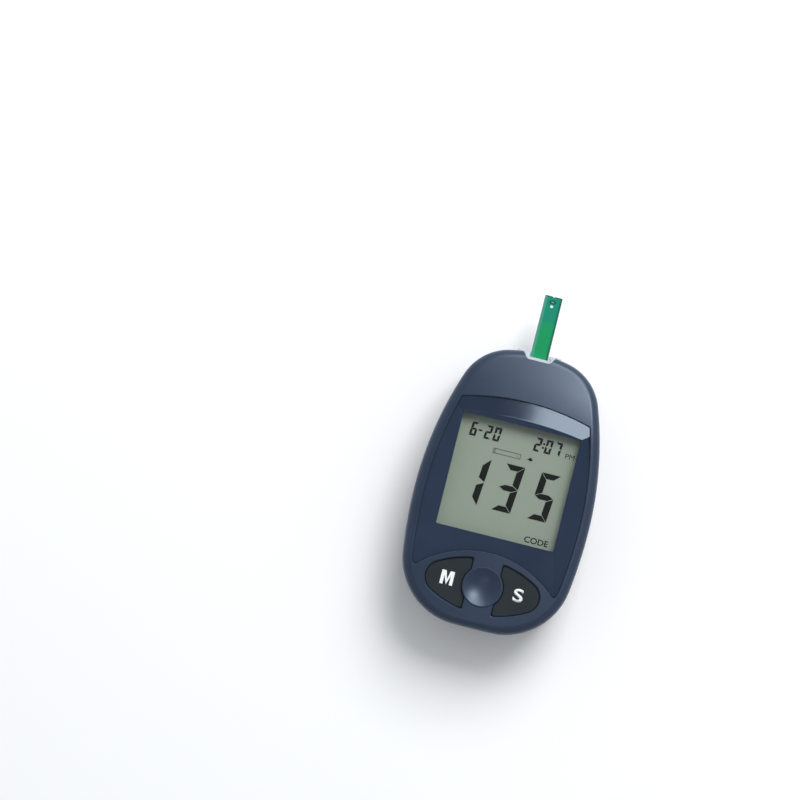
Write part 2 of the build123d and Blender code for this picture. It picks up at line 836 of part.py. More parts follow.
# ---------------------------------------------------------------- parts soldered to the board
with BuildPart() as microcontroller:
    with BuildSketch(Plane.XY.offset(board_z - chip_body_height)):
        with Locations(controller_center):
            Rectangle(chip_body_size, chip_body_size)
    extrude(amount=chip_body_height)
    chamfer(microcontroller.faces().sort_by(Axis.Z)[0].edges(), chip_body_bevel)
    with BuildSketch(Plane.XY.offset(board_z - lead_height)):
        with Locations(controller_center):
            with PolarLocations(chip_body_size / 2 + lead_length / 2, 4):
                with GridLocations(lead_length, lead_pitch, 1, lead_count):
                    Rectangle(lead_length, lead_width)
    extrude(amount=lead_height)

microcontroller.part.label = "microcontroller"
export_step(microcontroller.part, "parts/microcontroller.step")

crystal_axis = Plane(
    (crystal_center[0], crystal_center[1] - crystal_length / 2, board_z - crystal_radius),
    x_dir=(1, 0, 0),
    z_dir=(0, 1, 0),
)

with BuildPart() as clock_crystal:
    with BuildSketch(crystal_axis):
        Circle(crystal_radius)
    extrude(amount=crystal_length)
    chamfer(clock_crystal.faces().sort_by(Axis.Y)[-1].edges(), crystal_radius / 3)

clock_crystal.part.label = "clock_crystal"
export_step(clock_crystal.part, "parts/clock_crystal.step")

with BuildPart() as board_components:
    with BuildSketch(Plane.XY.offset(board_z - component_height)):
        with Locations(component_center):
            with GridLocations(
                component_pitch, component_pitch, component_columns, component_rows
            ):
                Rectangle(component_length, component_width)
    extrude(amount=component_height)

board_components.part.label = "board_components"
export_step(board_components.part, "parts/board_components.step")

# ---------------------------------------------------------------- screws
def screw(points, head_z, head_radius, head_height, shank_radius, shank_length):
    """Pan-head screws driven upwards from below, each with a cross recess."""
    with BuildPart() as group:
        with BuildSketch(Plane.XY.offset(head_z)):
            with Locations(*points):
                Circle(head_radius)
        extrude(amount=head_height)
        chamfer(group.edges().group_by(Axis.Z)[0], head_height / 3)
        with BuildSketch(Plane.XY.offset(head_z)):
            with Locations(*points):
                Rectangle(head_radius, recess_width)
                Rectangle(recess_width, head_radius)
        extrude(amount=head_height / 2, mode=Mode.SUBTRACT)
        with BuildSketch(Plane.XY.offset(head_z + head_height)):
            with Locations(*points):
                Circle(shank_radius)
        extrude(amount=shank_length)
    return group


case_screws = screw(
    case_screw_points,
    case_screw_head_z,
    case_screw_head_radius,
    case_screw_head_height,
    case_screw_radius,
    case_screw_length,
)
case_screws.part.label = "case_screws"
export_step(case_screws.part, "parts/case_screws.step")

board_screws = screw(
    board_screw_points,
    board_z - board_screw_head_height,
    board_screw_head_radius,
    board_screw_head_height,
    board_screw_radius,
    board_screw_length,
)
board_screws.part.label = "board_screws"
export_step(board_screws.part, "parts/board_screws.step")

# ---------------------------------------------------------------- keys, pills and mat
key_flange_top_z = key_ceiling_z - key_flange_gap
key_flange_z = key_flange_top_z - key_flange_thickness
pill_z = board_top_z + key_travel + pill_rest_gap
key_face = under_crown(key_sink)


def key(side):
    """One key: face through the case, flange behind it, stem down to its pill."""
    with BuildPart() as piece:
        with BuildSketch(Plane.XY.offset(key_flange_top_z)):
            add(key_shape(side, -key_clearance))
        extrude(amount=body_height - key_flange_top_z)
        add(key_face, mode=Mode.INTERSECT)
        with BuildSketch(Plane.XY.offset(key_flange_z)):
            add(key_shape(side, key_flange))
        extrude(amount=key_flange_thickness)
        with BuildSketch(Plane.XY.offset(pill_z + pill_thickness)):
            with Locations((side * key_stem_x, key_y)):
                Circle(key_stem_radius)
        extrude(amount=key_flange_z - pill_z - pill_thickness)
    return piece


def key_pill(side):
    """The carbon pill under one key's stem."""
    with BuildPart() as piece:
        with BuildSketch(Plane.XY.offset(pill_z)):
            with Locations((side * key_stem_x, key_y)):
                Circle(pill_radius)
        extrude(amount=pill_thickness)
    return piece


m_button = key(-1)
m_button.part.label = "m_button"
export_step(m_button.part, "parts/m_button.step")

s_button = key(1)
s_button.part.label = "s_button"
export_step(s_button.part, "parts/s_button.step")

m_key_pill = key_pill(-1)
m_key_pill.part.label = "m_key_pill"
export_step(m_key_pill.part, "parts/m_key_pill.step")

s_key_pill = key_pill(1)
s_key_pill.part.label = "s_key_pill"
export_step(s_key_pill.part, "parts/s_key_pill.step")

with BuildPart() as key_mat:
    with BuildSketch(Plane.XY.offset(board_top_z)):
        with Locations((0, key_y)):
            add(key_oval(-mat_inset))
        with Locations((-key_stem_x, key_y), (key_stem_x, key_y)):
            Circle(key_stem_radius + mat_hole_clearance, mode=Mode.SUBTRACT)
    extrude(amount=mat_thickness)

key_mat.part.label = "key_mat"
export_step(key_mat.part, "parts/key_mat.step")

# ---------------------------------------------------------------- coin cell and its contacts
with BuildPart() as coin_cell:
    with BuildSketch(Plane.XY.offset(cell_z)):
        with Locations((0, cell_y)):
            Circle(cell_radius)
    extrude(amount=cell_thickness - cell_step)
    chamfer(coin_cell.edges().group_by(Axis.Z)[0], cell_step)
    with BuildSketch(Plane.XY.offset(cell_z + cell_thickness - cell_step)):
        with Locations((0, cell_y)):
            Circle(cell_radius - cell_rim)
    extrude(amount=cell_step)

coin_cell.part.label = "coin_cell"
export_step(coin_cell.part, "parts/coin_cell.step")

with BuildPart() as battery_contact_positive:
    with BuildSketch(Plane.XY.offset(cell_z + contact_metal)):
        with Locations((clip_x + contact_metal / 2, cell_y)):
            Rectangle(contact_metal, contact_width)
    extrude(amount=board_z - cell_z - contact_metal)

battery_contact_positive.part.label = "battery_contact_positive"
export_step(battery_contact_positive.part, "parts/battery_contact_positive.step")

leaf_z = cell_z + cell_thickness + contact_gap

with BuildPart() as battery_contact_negative:
    with BuildSketch(Plane.XY.offset(leaf_z)):
        with Locations((0, (leaf_end_y + leaf_start_y) / 2)):
            Rectangle(contact_width, leaf_end_y - leaf_start_y + contact_metal)
    extrude(amount=contact_metal)
    with BuildSketch(Plane.XY.offset(leaf_z)):
        with Locations((0, leaf_end_y)):
            Rectangle(contact_width, contact_metal)
    extrude(amount=board_z - leaf_z)

battery_contact_negative.part.label = "battery_contact_negative"
export_step(battery_contact_negative.part, "parts/battery_contact_negative.step")

# ---------------------------------------------------------------- battery cover
with BuildPart() as battery_cover:
    with BuildSketch(Plane.XY.offset(cover_recess)):
        with Locations((0, cell_y)):
            RectangleRounded(cover_width, cover_length, cover_round)
    extrude(amount=cover_thickness)
    # Two ribs inside press on the cell.
    with BuildSketch(Plane.XY.offset(cover_recess + cover_thickness)):
        with Locations((0, cell_y)):
            with GridLocations(cell_radius, 0, 2, 1):
                Rectangle(cover_rib_width, cell_radius)
    extrude(amount=cell_z - contact_gap - cover_recess - cover_thickness)
    # Grip grooves by the thumb notch outside.
    with BuildSketch(Plane.XY.offset(cover_recess)):
        with Locations((0, cell_y - cover_length / 2 + grip_from_end)):
            with GridLocations(0, grip_pitch, 1, grip_count):
                SlotOverall(thumb_notch_width, grip_width)
    extrude(amount=grip_depth, mode=Mode.SUBTRACT)

battery_cover.part.label = "battery_cover"
export_step(battery_cover.part, "parts/battery_cover.step")

# ---------------------------------------------------------------- test strip
cover_end_y = strip_tip_y - strip_cover_length
track_z = strip_z + strip_base_thickness


def strip_layer(width, start_y, bottom_z, thickness):
    """One flat layer of the strip, from a place along it to its tip, with rounded corners."""
    with BuildPart() as layer:
        with BuildSketch(Plane.XY.offset(bottom_z)):
            with Locations((0, (start_y + strip_tip_y) / 2)):
                Rectangle(width, strip_tip_y - start_y)
        extrude(amount=thickness)
        fillet(layer.edges().filter_by(Axis.Z).group_by(Axis.Y)[-1], strip_tip_round)
    return layer


strip_base = strip_layer(strip_width, strip_inner_y, strip_z, strip_base_thickness)
strip_base.part.label = "strip_base"
export_step(strip_base.part, "parts/strip_base.step")

with BuildPart() as strip_tracks:
    with BuildSketch(Plane.XY.offset(track_z)):
        with Locations((0, (strip_inner_y + cover_end_y) / 2)):
            with GridLocations(strip_width / strip_track_count, 0, strip_track_count, 1):
                Rectangle(strip_track_width, cover_end_y - strip_inner_y)
    extrude(amount=strip_track_thickness)

strip_tracks.part.label = "strip_tracks"
export_step(strip_tracks.part, "parts/strip_tracks.step")

# The film leaves the carrier bare along its edges. It has a small vent hole near its tip
# and a sampling notch in its end.
film_width = strip_width - 2 * strip_cover_inset

with BuildPart() as strip_cover:
    add(strip_layer(film_width, cover_end_y, track_z, strip_cover_thickness).part)
    with BuildSketch(Plane.XY.offset(track_z)):
        with Locations((0, strip_tip_y - vent_from_tip)):
            Circle(vent_radius)
        with Locations((0, strip_tip_y)):
            Circle(sample_notch_radius)
    extrude(amount=strip_cover_thickness, mode=Mode.SUBTRACT)

strip_cover.part.label = "strip_cover"
export_step(strip_cover.part, "parts/strip_cover.step")

# ---------------------------------------------------------------- strip connector
strip_thickness = strip_base_thickness + strip_cover_thickness
slot_bottom_z = strip_z - strip_clearance
slot_top_z = strip_z + strip_thickness + strip_clearance
port_block_end_y = strip_inner_y - port_block_wall + port_block_length
port_block_y = port_block_end_y - port_block_length / 2
port_slot_y = port_block_y + port_block_wall - strip_clearance
contact_length = port_block_length - 2 * port_block_wall

with BuildPart() as strip_connector:
    with BuildSketch(Plane.XY.offset(board_top_z)):
        with Locations((0, port_block_y)):
            Rectangle(port_block_width, port_block_length)
    extrude(amount=slot_top_z + port_block_wall - board_top_z)
    with BuildSketch(Plane.XY.offset(slot_bottom_z)):
        with Locations((0, port_slot_y)):
            Rectangle(strip_width + 2 * strip_clearance, port_block_length)
    extrude(amount=slot_top_z - slot_bottom_z, mode=Mode.SUBTRACT)
    # Grooves in the roof of the slot for the spring contacts.
    with BuildSketch(Plane.XY.offset(slot_top_z)):
        with Locations((0, strip_inner_y + contact_length / 2)):
            with GridLocations(strip_width / strip_track_count, 0, strip_track_count, 1):
                Rectangle(port_contact_width + contact_play, contact_length)
    extrude(amount=contact_metal + contact_gap, mode=Mode.SUBTRACT)

strip_connector.part.label = "strip_connector"
export_step(strip_connector.part, "parts/strip_connector.step")

# Each spring hangs in its groove and bows down to the strip's track.
with BuildPart() as strip_contacts:
    with BuildSketch(Plane.XY.offset(track_z + strip_track_thickness + contact_gap)):
        with Locations((0, strip_inner_y + contact_length / 2)):
            with GridLocations(strip_width / strip_track_count, 0, strip_track_count, 1):
                Rectangle(port_contact_width, contact_length - contact_play)
    extrude(amount=slot_top_z + contact_metal - track_z - strip_track_thickness - contact_gap)

strip_contacts.part.label = "strip_contacts"
export_step(strip_contacts.part, "parts/strip_contacts.step")

# ---------------------------------------------------------------- strip holder
with BuildPart() as strip_holder:
    with BuildSketch(Plane.XZ.offset(-holder_inner_y)):
        with Locations((0, (holder_bottom_z + holder_top_z) / 2)):
            RectangleRounded(holder_width, holder_top_z - holder_bottom_z, holder_round)
    extrude(amount=-holder_depth)
    with BuildSketch(Plane.XZ.offset(-holder_inner_y)):
        with Locations((0, (slot_bottom_z + slot_top_z) / 2)):
            Rectangle(strip_width + 2 * strip_clearance, slot_top_z - slot_bottom_z)
    extrude(amount=-body_length, mode=Mode.SUBTRACT)
    # Mouth: the upper jaw is cut back so that the strip can be laid on the lower one.
    with BuildSketch(Plane.XY.offset(slot_bottom_z)):
        with Locations((0, holder_mouth_y + holder_mouth_width / 2)):
            Rectangle(holder_mouth_width, holder_mouth_width)
    extrude(amount=body_height, mode=Mode.SUBTRACT)

strip_holder.part.label = "strip_holder"
export_step(strip_holder.part, "parts/strip_holder.step")

# ---------------------------------------------------------------- code chip and its socket
chip_outer = Plane.YZ.offset(-side_x)

with BuildPart() as chip_envelope:
    with BuildSketch():
        add(body_outline(back_rim_z * draft_run + chip_recess))
    extrude(amount=back_rim_z, taper=-back_draft)

with BuildPart() as code_chip:
    with BuildSketch(chip_outer):
        with Locations((chip_y, slot_z)):
            RectangleRounded(chip_width, chip_thickness, chip_round)
    extrude(amount=side_x + chip_inner_x)
    add(chip_envelope.part, mode=Mode.INTERSECT)

code_chip.part.label = "code_chip"
export_step(code_chip.part, "parts/code_chip.step")

socket_x = chip_inner_x - socket_depth
socket_floor_z = chip_z - chip_clearance - socket_wall
socket_end_x = chip_inner_x + chip_clearance + socket_wall

with BuildPart() as code_socket:
    with BuildSketch(Plane.YZ.offset(socket_x)):
        with Locations((chip_y, (socket_floor_z + board_z) / 2)):
            Rectangle(chip_width + 2 * (chip_clearance + socket_wall), board_z - socket_floor_z)
    extrude(amount=socket_end_x - socket_x)
    with BuildSketch(Plane.YZ.offset(socket_x)):
        with Locations((chip_y, slot_z)):
            Rectangle(chip_width + 2 * chip_clearance, slot_height)
    extrude(amount=socket_depth + chip_clearance, mode=Mode.SUBTRACT)
    # Grooves in the socket's roof for its spring contacts.
    with BuildSketch(Plane.XY.offset(chip_z + chip_thickness)):
        with Locations((socket_x + socket_depth / 2, chip_y)):
            with GridLocations(0, code_contact_pitch, 1, code_contact_count):
                Rectangle(socket_depth, port_contact_width + contact_play)
    extrude(amount=chip_clearance + contact_metal + contact_gap, mode=Mode.SUBTRACT)

code_socket.part.label = "code_socket"
export_step(code_socket.part, "parts/code_socket.step")

with BuildPart() as code_contacts:
    with BuildSketch(Plane.XY.offset(chip_z + chip_thickness + contact_gap)):
        with Locations((socket_x + socket_depth / 2, chip_y)):
            with GridLocations(0, code_contact_pitch, 1, code_contact_count):
                Rectangle(socket_depth - contact_play, port_contact_width)
    extrude(amount=chip_clearance + contact_metal - contact_gap)

code_contacts.part.label = "code_contacts"
export_step(code_contacts.part, "parts/code_contacts.step")

# ---------------------------------------------------------------- data jack
with BuildPart() as data_jack:
    with BuildSketch(Plane.XZ.offset(-jack_inner_y)):
        with Locations((0, (jack_z - jack_collar_radius + board_z) / 2)):
            Rectangle(jack_body_width, board_z - jack_z + jack_collar_radius)
    extrude(amount=jack_inner_y - jack_wall_y)
    with BuildSketch(Plane.XZ.offset(-jack_wall_y)):
        with Locations((0, jack_z)):
            Circle(jack_collar_radius)
    extrude(amount=jack_wall_y - jack_face_y)
    with BuildSketch(Plane.XZ.offset(-jack_face_y)):
        with Locations((0, jack_z)):
            Circle(jack_bore_radius)
    extrude(amount=-jack_bore_length, mode=Mode.SUBTRACT)

data_jack.part.label = "data_jack"
export_step(data_jack.part, "parts/data_jack.step")
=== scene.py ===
# %% [markdown]
# # Dressing a blood glucose meter
#
# The meter's solids come ready made, at their real size, in one shared frame: +Z is out of
# the face, +Y is towards the test strip and +X is to the right. This lesson gives each of
# them its finish and adds what is printed on them: the display's segments, the two key
# legends and the marks on the test strip. One unit is one metre.

# %% Load the frame
import math

import bmesh
import bpy
from mathutils import Matrix, Vector


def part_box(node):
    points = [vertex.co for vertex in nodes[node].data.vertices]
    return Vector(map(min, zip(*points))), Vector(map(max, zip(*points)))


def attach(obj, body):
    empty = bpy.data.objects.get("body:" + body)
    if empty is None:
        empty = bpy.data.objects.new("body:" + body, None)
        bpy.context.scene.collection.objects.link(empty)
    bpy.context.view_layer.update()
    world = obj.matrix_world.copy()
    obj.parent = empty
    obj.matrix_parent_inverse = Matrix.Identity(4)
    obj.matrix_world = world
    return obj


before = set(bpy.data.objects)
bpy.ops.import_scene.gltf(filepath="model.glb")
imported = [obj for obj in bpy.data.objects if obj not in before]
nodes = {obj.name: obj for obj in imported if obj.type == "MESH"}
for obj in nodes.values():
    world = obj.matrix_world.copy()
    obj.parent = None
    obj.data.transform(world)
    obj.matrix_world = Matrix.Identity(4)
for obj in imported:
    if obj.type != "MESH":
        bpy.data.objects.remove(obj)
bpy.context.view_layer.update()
MM = 0.001
print("nodes loaded:", len(nodes))

# %% [markdown]
# ## Effects that several finishes share
#
# An effect that more than one finish has is made once, as a node group with named sockets,
# and then placed in each material with its own values. A group here puts out only values
# that change over the surface, and the shader stays in its material. Noise is read from the
# object's own coordinates, so it stays on the piece when the piece moves.

# %% Node group helpers


def new_group(name, inputs, outputs):
    """An empty shader group with named float sockets."""
    group = bpy.data.node_groups.new(name, "ShaderNodeTree")
    for label, value in inputs:
        socket = group.interface.new_socket(label, in_out="INPUT", socket_type="NodeSocketFloat")
        socket.default_value = value
    for label in outputs:
        group.interface.new_socket(label, in_out="OUTPUT", socket_type="NodeSocketFloat")
    return group, group.nodes.new("NodeGroupInput"), group.nodes.new("NodeGroupOutput")


def math_node(tree, kind, first, second):
    """A Math node fed by sockets or numbers."""
    node = tree.nodes.new("ShaderNodeMath")
    node.operation = kind
    for slot, value in zip(node.inputs, (first, second)):
        if isinstance(value, bpy.types.NodeSocket):
            tree.links.new(value, slot)
        else:
            slot.default_value = value
    return node.outputs[0]


def noise_node(tree, scale, detail, rough=0.5):
    """Noise on the object's own coordinates. Scale is a socket or a number per metre."""
    place = tree.nodes.new("ShaderNodeTexCoord")
    noise = tree.nodes.new("ShaderNodeTexNoise")
    noise.inputs["Detail"].default_value = detail
    noise.inputs["Roughness"].default_value = rough
    tree.links.new(place.outputs["Object"], noise.inputs["Vector"])
    if isinstance(scale, bpy.types.NodeSocket):
        tree.links.new(scale, noise.inputs["Scale"])
    else:
        noise.inputs["Scale"].default_value = scale
    return noise.outputs["Fac"]


print("helpers for node groups are ready")

# %% [markdown]
# ## The grain of a mould
#
# The moulds of such housings are spark eroded, which leaves a fine even grain on the plastic.
# It is too small to model, so it is a height for a Bump node: fine noise with a share of
# coarser noise added to it.

# %% Group: moulded grain
grain_group, grain_in, grain_out = new_group(
    "moulded_grain", [("Grains per metre", 4200.0), ("Coarse share", 0.35)], ["Height"]
)
fine = noise_node(grain_group, grain_in.outputs["Grains per metre"], 2.0)
coarse_to_fine = 0.37
coarse_scale = math_node(
    grain_group, "MULTIPLY", grain_in.outputs["Grains per metre"], coarse_to_fine
)
coarse = noise_node(grain_group, coarse_scale, 1.0)
coarse_part = math_node(grain_group, "MULTIPLY", coarse, grain_in.outputs["Coarse share"])
height = math_node(grain_group, "ADD", fine, coarse_part)
grain_group.links.new(height, grain_out.inputs["Height"])
print("group made:", grain_group.name)

# %% [markdown]
# ## Slow changes over a surface
#
# Moulded plastic is never one flat color, and hands polish it in patches. `patchy` spreads a
# soft noise between a low and a high value, and a finish uses it to shift its color or its
# roughness a little.

# %% Group: patchy
patch_group, patch_in, patch_out = new_group(
    "patchy", [("Patches per metre", 60.0), ("Low", 0.0), ("High", 1.0)], ["Value"]
)
cloud = noise_node(patch_group, patch_in.outputs["Patches per metre"], 3.0)
spread = patch_group.nodes.new("ShaderNodeMapRange")
spread.inputs["From Min"].default_value = 0.3
spread.inputs["From Max"].default_value = 0.7
patch_group.links.new(cloud, spread.inputs["Value"])
patch_group.links.new(patch_in.outputs["Low"], spread.inputs["To Min"])
patch_group.links.new(patch_in.outputs["High"], spread.inputs["To Max"])
patch_group.links.new(spread.outputs["Result"], patch_out.inputs["Value"])
print("group made:", patch_group.name)

# %% [markdown]
# ## Building a finish
#
# Every finish starts from one Principled shader. `grain` adds the moulded grain through a
# Bump node, `mottle` lets the color drift between two near shades, and `polish` lets the
# roughness drift. What is the same all over is set straight on the shader.

# %% Helpers for finishes


def finish_named(name, color, roughness, **settings):
    """A material with its Principled shader's plain values set."""
    material = bpy.data.materials.new(name)
    material.use_nodes = True
    shader = material.node_tree.nodes["Principled BSDF"]
    shader.inputs["Base Color"].default_value = (*color, 1.0)
    shader.inputs["Roughness"].default_value = roughness
    for label, value in settings.items():
        shader.inputs[label.replace("_", " ")].default_value = value
    material.diffuse_color = (*color, 1.0)
    return material


def shader_of(material):
    """The material's Principled shader."""
    return material.node_tree.nodes["Principled BSDF"]


def group_in(material, group, **values):
    """One of the shared groups, placed in a material with its own values."""
    node = material.node_tree.nodes.new("ShaderNodeGroup")
    node.node_tree = group
    for label, value in values.items():
        node.inputs[label.replace("_", " ")].default_value = value
    return node


def bump_from(material, height, strength, distance):
    """Feed a height into the shader's normal."""
    tree = material.node_tree
    bump = tree.nodes.new("ShaderNodeBump")
    bump.inputs["Strength"].default_value = strength
    bump.inputs["Distance"].default_value = distance
    tree.links.new(height, bump.inputs["Height"])
    tree.links.new(bump.outputs["Normal"], shader_of(material).inputs["Normal"])


def grain(material, per_metre=4200.0, strength=0.25, distance=0.00002):
    """Spark-eroded mould grain."""
    node = group_in(material, grain_group, Grains_per_metre=per_metre)
    bump_from(material, node.outputs["Height"], strength, distance)
    return material


def polish(material, low, high, per_metre=60.0):
    """Roughness that drifts where hands have polished the surface."""
    node = group_in(material, patch_group, Patches_per_metre=per_metre, Low=low, High=high)
    material.node_tree.links.new(node.outputs["Value"], shader_of(material).inputs["Roughness"])
    return material


def mix_colors(material, factor, first, second):
    """A color between two, by a factor socket. The first color may be a socket too."""
    tree = material.node_tree
    mix = tree.nodes.new("ShaderNodeMix")
    mix.data_type = "RGBA"
    if isinstance(first, bpy.types.NodeSocket):
        tree.links.new(first, mix.inputs[6])
    else:
        mix.inputs[6].default_value = (*first, 1.0)
    mix.inputs[7].default_value = (*second, 1.0)
    tree.links.new(factor, mix.inputs[0])
    return mix.outputs[2]


def mottle(material, first, second, per_metre=90.0):
    """Color that drifts between two near shades."""
    node = group_in(material, patch_group, Patches_per_metre=per_metre, Low=0.0, High=1.0)
    color = mix_colors(material, node.outputs["Value"], first, second)
    material.node_tree.links.new(color, shader_of(material).inputs["Base Color"])
    return material


def paint(obj, material):
    """Give an object this material alone."""
    obj.data.materials.clear()
    obj.data.materials.append(material)


def dress(material, *names):
    """Give CAD nodes this material."""
    for name in names:
        paint(nodes[name], material)


print("helpers for finishes are ready")

# %% [markdown]
# ## The case
#
# Both shells are navy ABS with a fine grain. The front's brow looks lighter than the rest
# only because it is tilted to a light, so one finish serves for all of it. A painted-on
# highlight would stay behind when the meter is turned. The display's sloped frame is moulded
# much smoother, so that the band over the display mirrors a lamp on its right part.

# %% Case finishes
navy = (0.019, 0.030, 0.058)
navy_light = (0.023, 0.035, 0.065)
cool_gloss = (0.72, 0.86, 1.0, 1.0)
case_finish = finish_named(
    "case_navy", navy, 0.32, Specular_Tint=cool_gloss, Specular_IOR_Level=0.4
)
mottle(case_finish, navy, navy_light)
polish(case_finish, 0.30, 0.35)
grain(case_finish, 4200.0, 0.22)

panel_finish = finish_named("panel_navy", navy, 0.055, Specular_Tint=cool_gloss)
mottle(panel_finish, navy, navy_light)
polish(panel_finish, 0.05, 0.06)
grain(panel_finish, 5200.0, 0.01)

back_finish = finish_named("case_back_navy", navy, 0.5)
mottle(back_finish, navy, navy_light)
polish(back_finish, 0.46, 0.56)
grain(back_finish, 3000.0, 0.35)

dress(case_finish, "front_case")
dress(panel_finish, "display_frame")
dress(back_finish, "back_case", "battery_cover")
print("case dressed")

# %% [markdown]
# ## The keys
#
# The keys are silicone rubber. Rubber scatters light at grazing angles, so it gets a soft
# sheen and hardly any mirror.

# %% Key finishes
rubber_dark = (0.010, 0.016, 0.020)
rubber_light = (0.014, 0.021, 0.026)
key_finish = finish_named(
    "key_rubber", rubber_dark, 0.62, Specular_IOR_Level=0.15, Sheen_Weight=0.03, Sheen_Roughness=0.6
)
mottle(key_finish, rubber_dark, rubber_light, 140.0)
polish(key_finish, 0.56, 0.68, 120.0)
grain(key_finish, 6000.0, 0.2)
dress(key_finish, "m_button", "s_button")

mat_finish = finish_named("mat_silicone", (0.32, 0.34, 0.37), 0.6)
grain(mat_finish, 3000.0, 0.15)
dress(mat_finish, "key_mat")

carbon_finish = finish_named("carbon", (0.018, 0.018, 0.018), 0.7)
grain(carbon_finish, 8000.0, 0.3)
dress(carbon_finish, "m_key_pill", "s_key_pill", "strip_tracks")
print("keys dressed")

# %% [markdown]
# ## The display
#
# A reflective display is a grey-green sheet of polarizer over glass. It looks even, with a
# very soft cloudiness. The window over it is clear, so it only adds a faint gloss. It is
# a mirror that is hardly there: its alpha follows Fresnel, low seen square on and higher at
# a glance. Only its outer faces mirror, so that slanting light still reaches the display.

# %% Display finishes
glass_green = (0.246, 0.302, 0.241)
glass_grey = (0.266, 0.305, 0.258)
display_finish = finish_named("display_sheet", glass_green, 0.42, Specular_IOR_Level=0.15)
mottle(display_finish, glass_green, glass_grey, 45.0)
grain(display_finish, 9000.0, 0.06)
dress(display_finish, "lcd_panel")

window_finish = finish_named("clear_window", (0.92, 0.95, 0.96), 0.06, Metallic=1.0)
window_tree = window_finish.node_tree
facing = window_tree.nodes.new("ShaderNodeFresnel")
facing.inputs["IOR"].default_value = 1.45
geometry = window_tree.nodes.new("ShaderNodeNewGeometry")
outer = math_node(window_tree, "SUBTRACT", 1.0, geometry.outputs["Backfacing"])
mirror_share = math_node(window_tree, "MULTIPLY", facing.outputs["Fac"], outer)
window_tree.links.new(mirror_share, shader_of(window_finish).inputs["Alpha"])
smear = group_in(window_finish, patch_group, Patches_per_metre=80.0, Low=0.05, High=0.12)
window_tree.links.new(smear.outputs["Value"], shader_of(window_finish).inputs["Roughness"])
dress(window_finish, "display_lens")
print("display dressed")

# %% [markdown]
# ## Printing and painted light on the test strip
#
# The strip is printed plastic: green where it is held and teal towards the tip. Over the
# print, light is painted: a painted shadow as a dark line along its tip, painted shade as a
# dark line along its right side and a painted highlight as a paler one along its left. Each of
# those colors is laid over the one before it, through a mask read from the strip's own
# coordinates, so the print and the painted light move with the strip.

# %% Helpers for printing and painted light


def mask_along(material, axis, start, end):
    """0 at one place along an axis of the body and 1 at another, with a soft change between."""
    tree = material.node_tree
    place = tree.nodes.new("ShaderNodeTexCoord")
    apart = tree.nodes.new("ShaderNodeSeparateXYZ")
    tree.links.new(place.outputs["Object"], apart.inputs[0])
    span = tree.nodes.new("ShaderNodeMapRange")
    span.interpolation_type = "SMOOTHSTEP"
    span.inputs["From Min"].default_value = start
    span.inputs["From Max"].default_value = end
    tree.links.new(apart.outputs[axis], span.inputs["Value"])
    return span.outputs["Result"]


def overlay_print_and_painted_light(material, mask, color):
    """Lay a color over what the material has so far, where the mask is 1. It serves for print and
    for painted light and shade.
    """
    base = shader_of(material).inputs["Base Color"]
    under = base.links[0].from_socket if base.is_linked else base.default_value[:3]
    printed = mix_colors(material, mask, under, color)
    material.node_tree.links.new(printed, base)


strip_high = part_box("strip_cover")[1]
tip_y = strip_high.y
side_x = strip_high.x
print("the strip ends at y =", round(tip_y / MM, 2), "mm")

# %% [markdown]
# ## The film's green print and its painted light
#
# Four layers, in this order: the teal print of the tip half, the painted highlight along the
# left margin, the painted shade along the right margin and the painted shadow along the tip.
# Each mask rises from 0 to 1 between two places on the strip, so its edge is soft.

# %% Film finish
film_green = (0.003, 0.268, 0.092)
film_teal = (0.002, 0.222, 0.142)
film_painted_shade = (0.002, 0.100, 0.070)
# Painted light: a dark painted shade, used for the right margin and for the painted shadow along
# the tip, and a pale painted highlight for the left margin.
film_painted_highlight = (0.052, 0.280, 0.200)
teal_length = 7.9 * MM
teal_blur = 0.9 * MM
# How far in from the strip's edges the painted highlight, the painted shade and the painted shadow
# reach.
painted_highlight_margin = (0.9 * MM, 0.3 * MM)
painted_shade_margin = (0.6 * MM, 0.1 * MM)
tip_shadow_margin = (0.5 * MM, 0.15 * MM)

film_finish = finish_named("strip_film", film_green, 0.4, Specular_IOR_Level=0.12)
teal_y = tip_y - teal_length
teal_mask = mask_along(film_finish, "Y", teal_y - teal_blur, teal_y + teal_blur)
overlay_print_and_painted_light(film_finish, teal_mask, film_teal)
# Painted highlight along the left edge, painted shade along the right edge, painted shadow along
# the tip.
painted_highlight_mask = mask_along(film_finish, "X", -side_x + painted_highlight_margin[0], -side_x + painted_highlight_margin[1])
overlay_print_and_painted_light(film_finish, painted_highlight_mask, film_painted_highlight)
painted_shade_mask = mask_along(film_finish, "X", side_x - painted_shade_margin[0], side_x - painted_shade_margin[1])
overlay_print_and_painted_light(film_finish, painted_shade_mask, film_painted_shade)
tip_shadow_mask = mask_along(film_finish, "Y", tip_y - tip_shadow_margin[0], tip_y - tip_shadow_margin[1])
overlay_print_and_painted_light(film_finish, tip_shadow_mask, film_painted_shade)
polish(film_finish, 0.35, 0.45, 300.0)
grain(film_finish, 7000.0, 0.08)
dress(film_finish, "strip_cover")
print("film printed")

# %% [markdown]
# ## The carrier and the holder
#
# The white carrier shows through the vent and at the strip's edges. Its margins take on the
# film's painted edge light: a pale teal painted highlight along its left edge and a dark
# painted shade along its right. The holder is moulded from a clear plastic that looks
# milky because its inside is rough: a little transmission and a thin coat give that.

# %% Carrier and holder finishes
carrier_painted_highlight = (0.12, 0.26, 0.24)
carrier_painted_shade = (0.010, 0.085, 0.060)
margin_x = side_x - 0.6 * MM

base_finish = finish_named("strip_white", (0.80, 0.86, 0.84), 0.4)
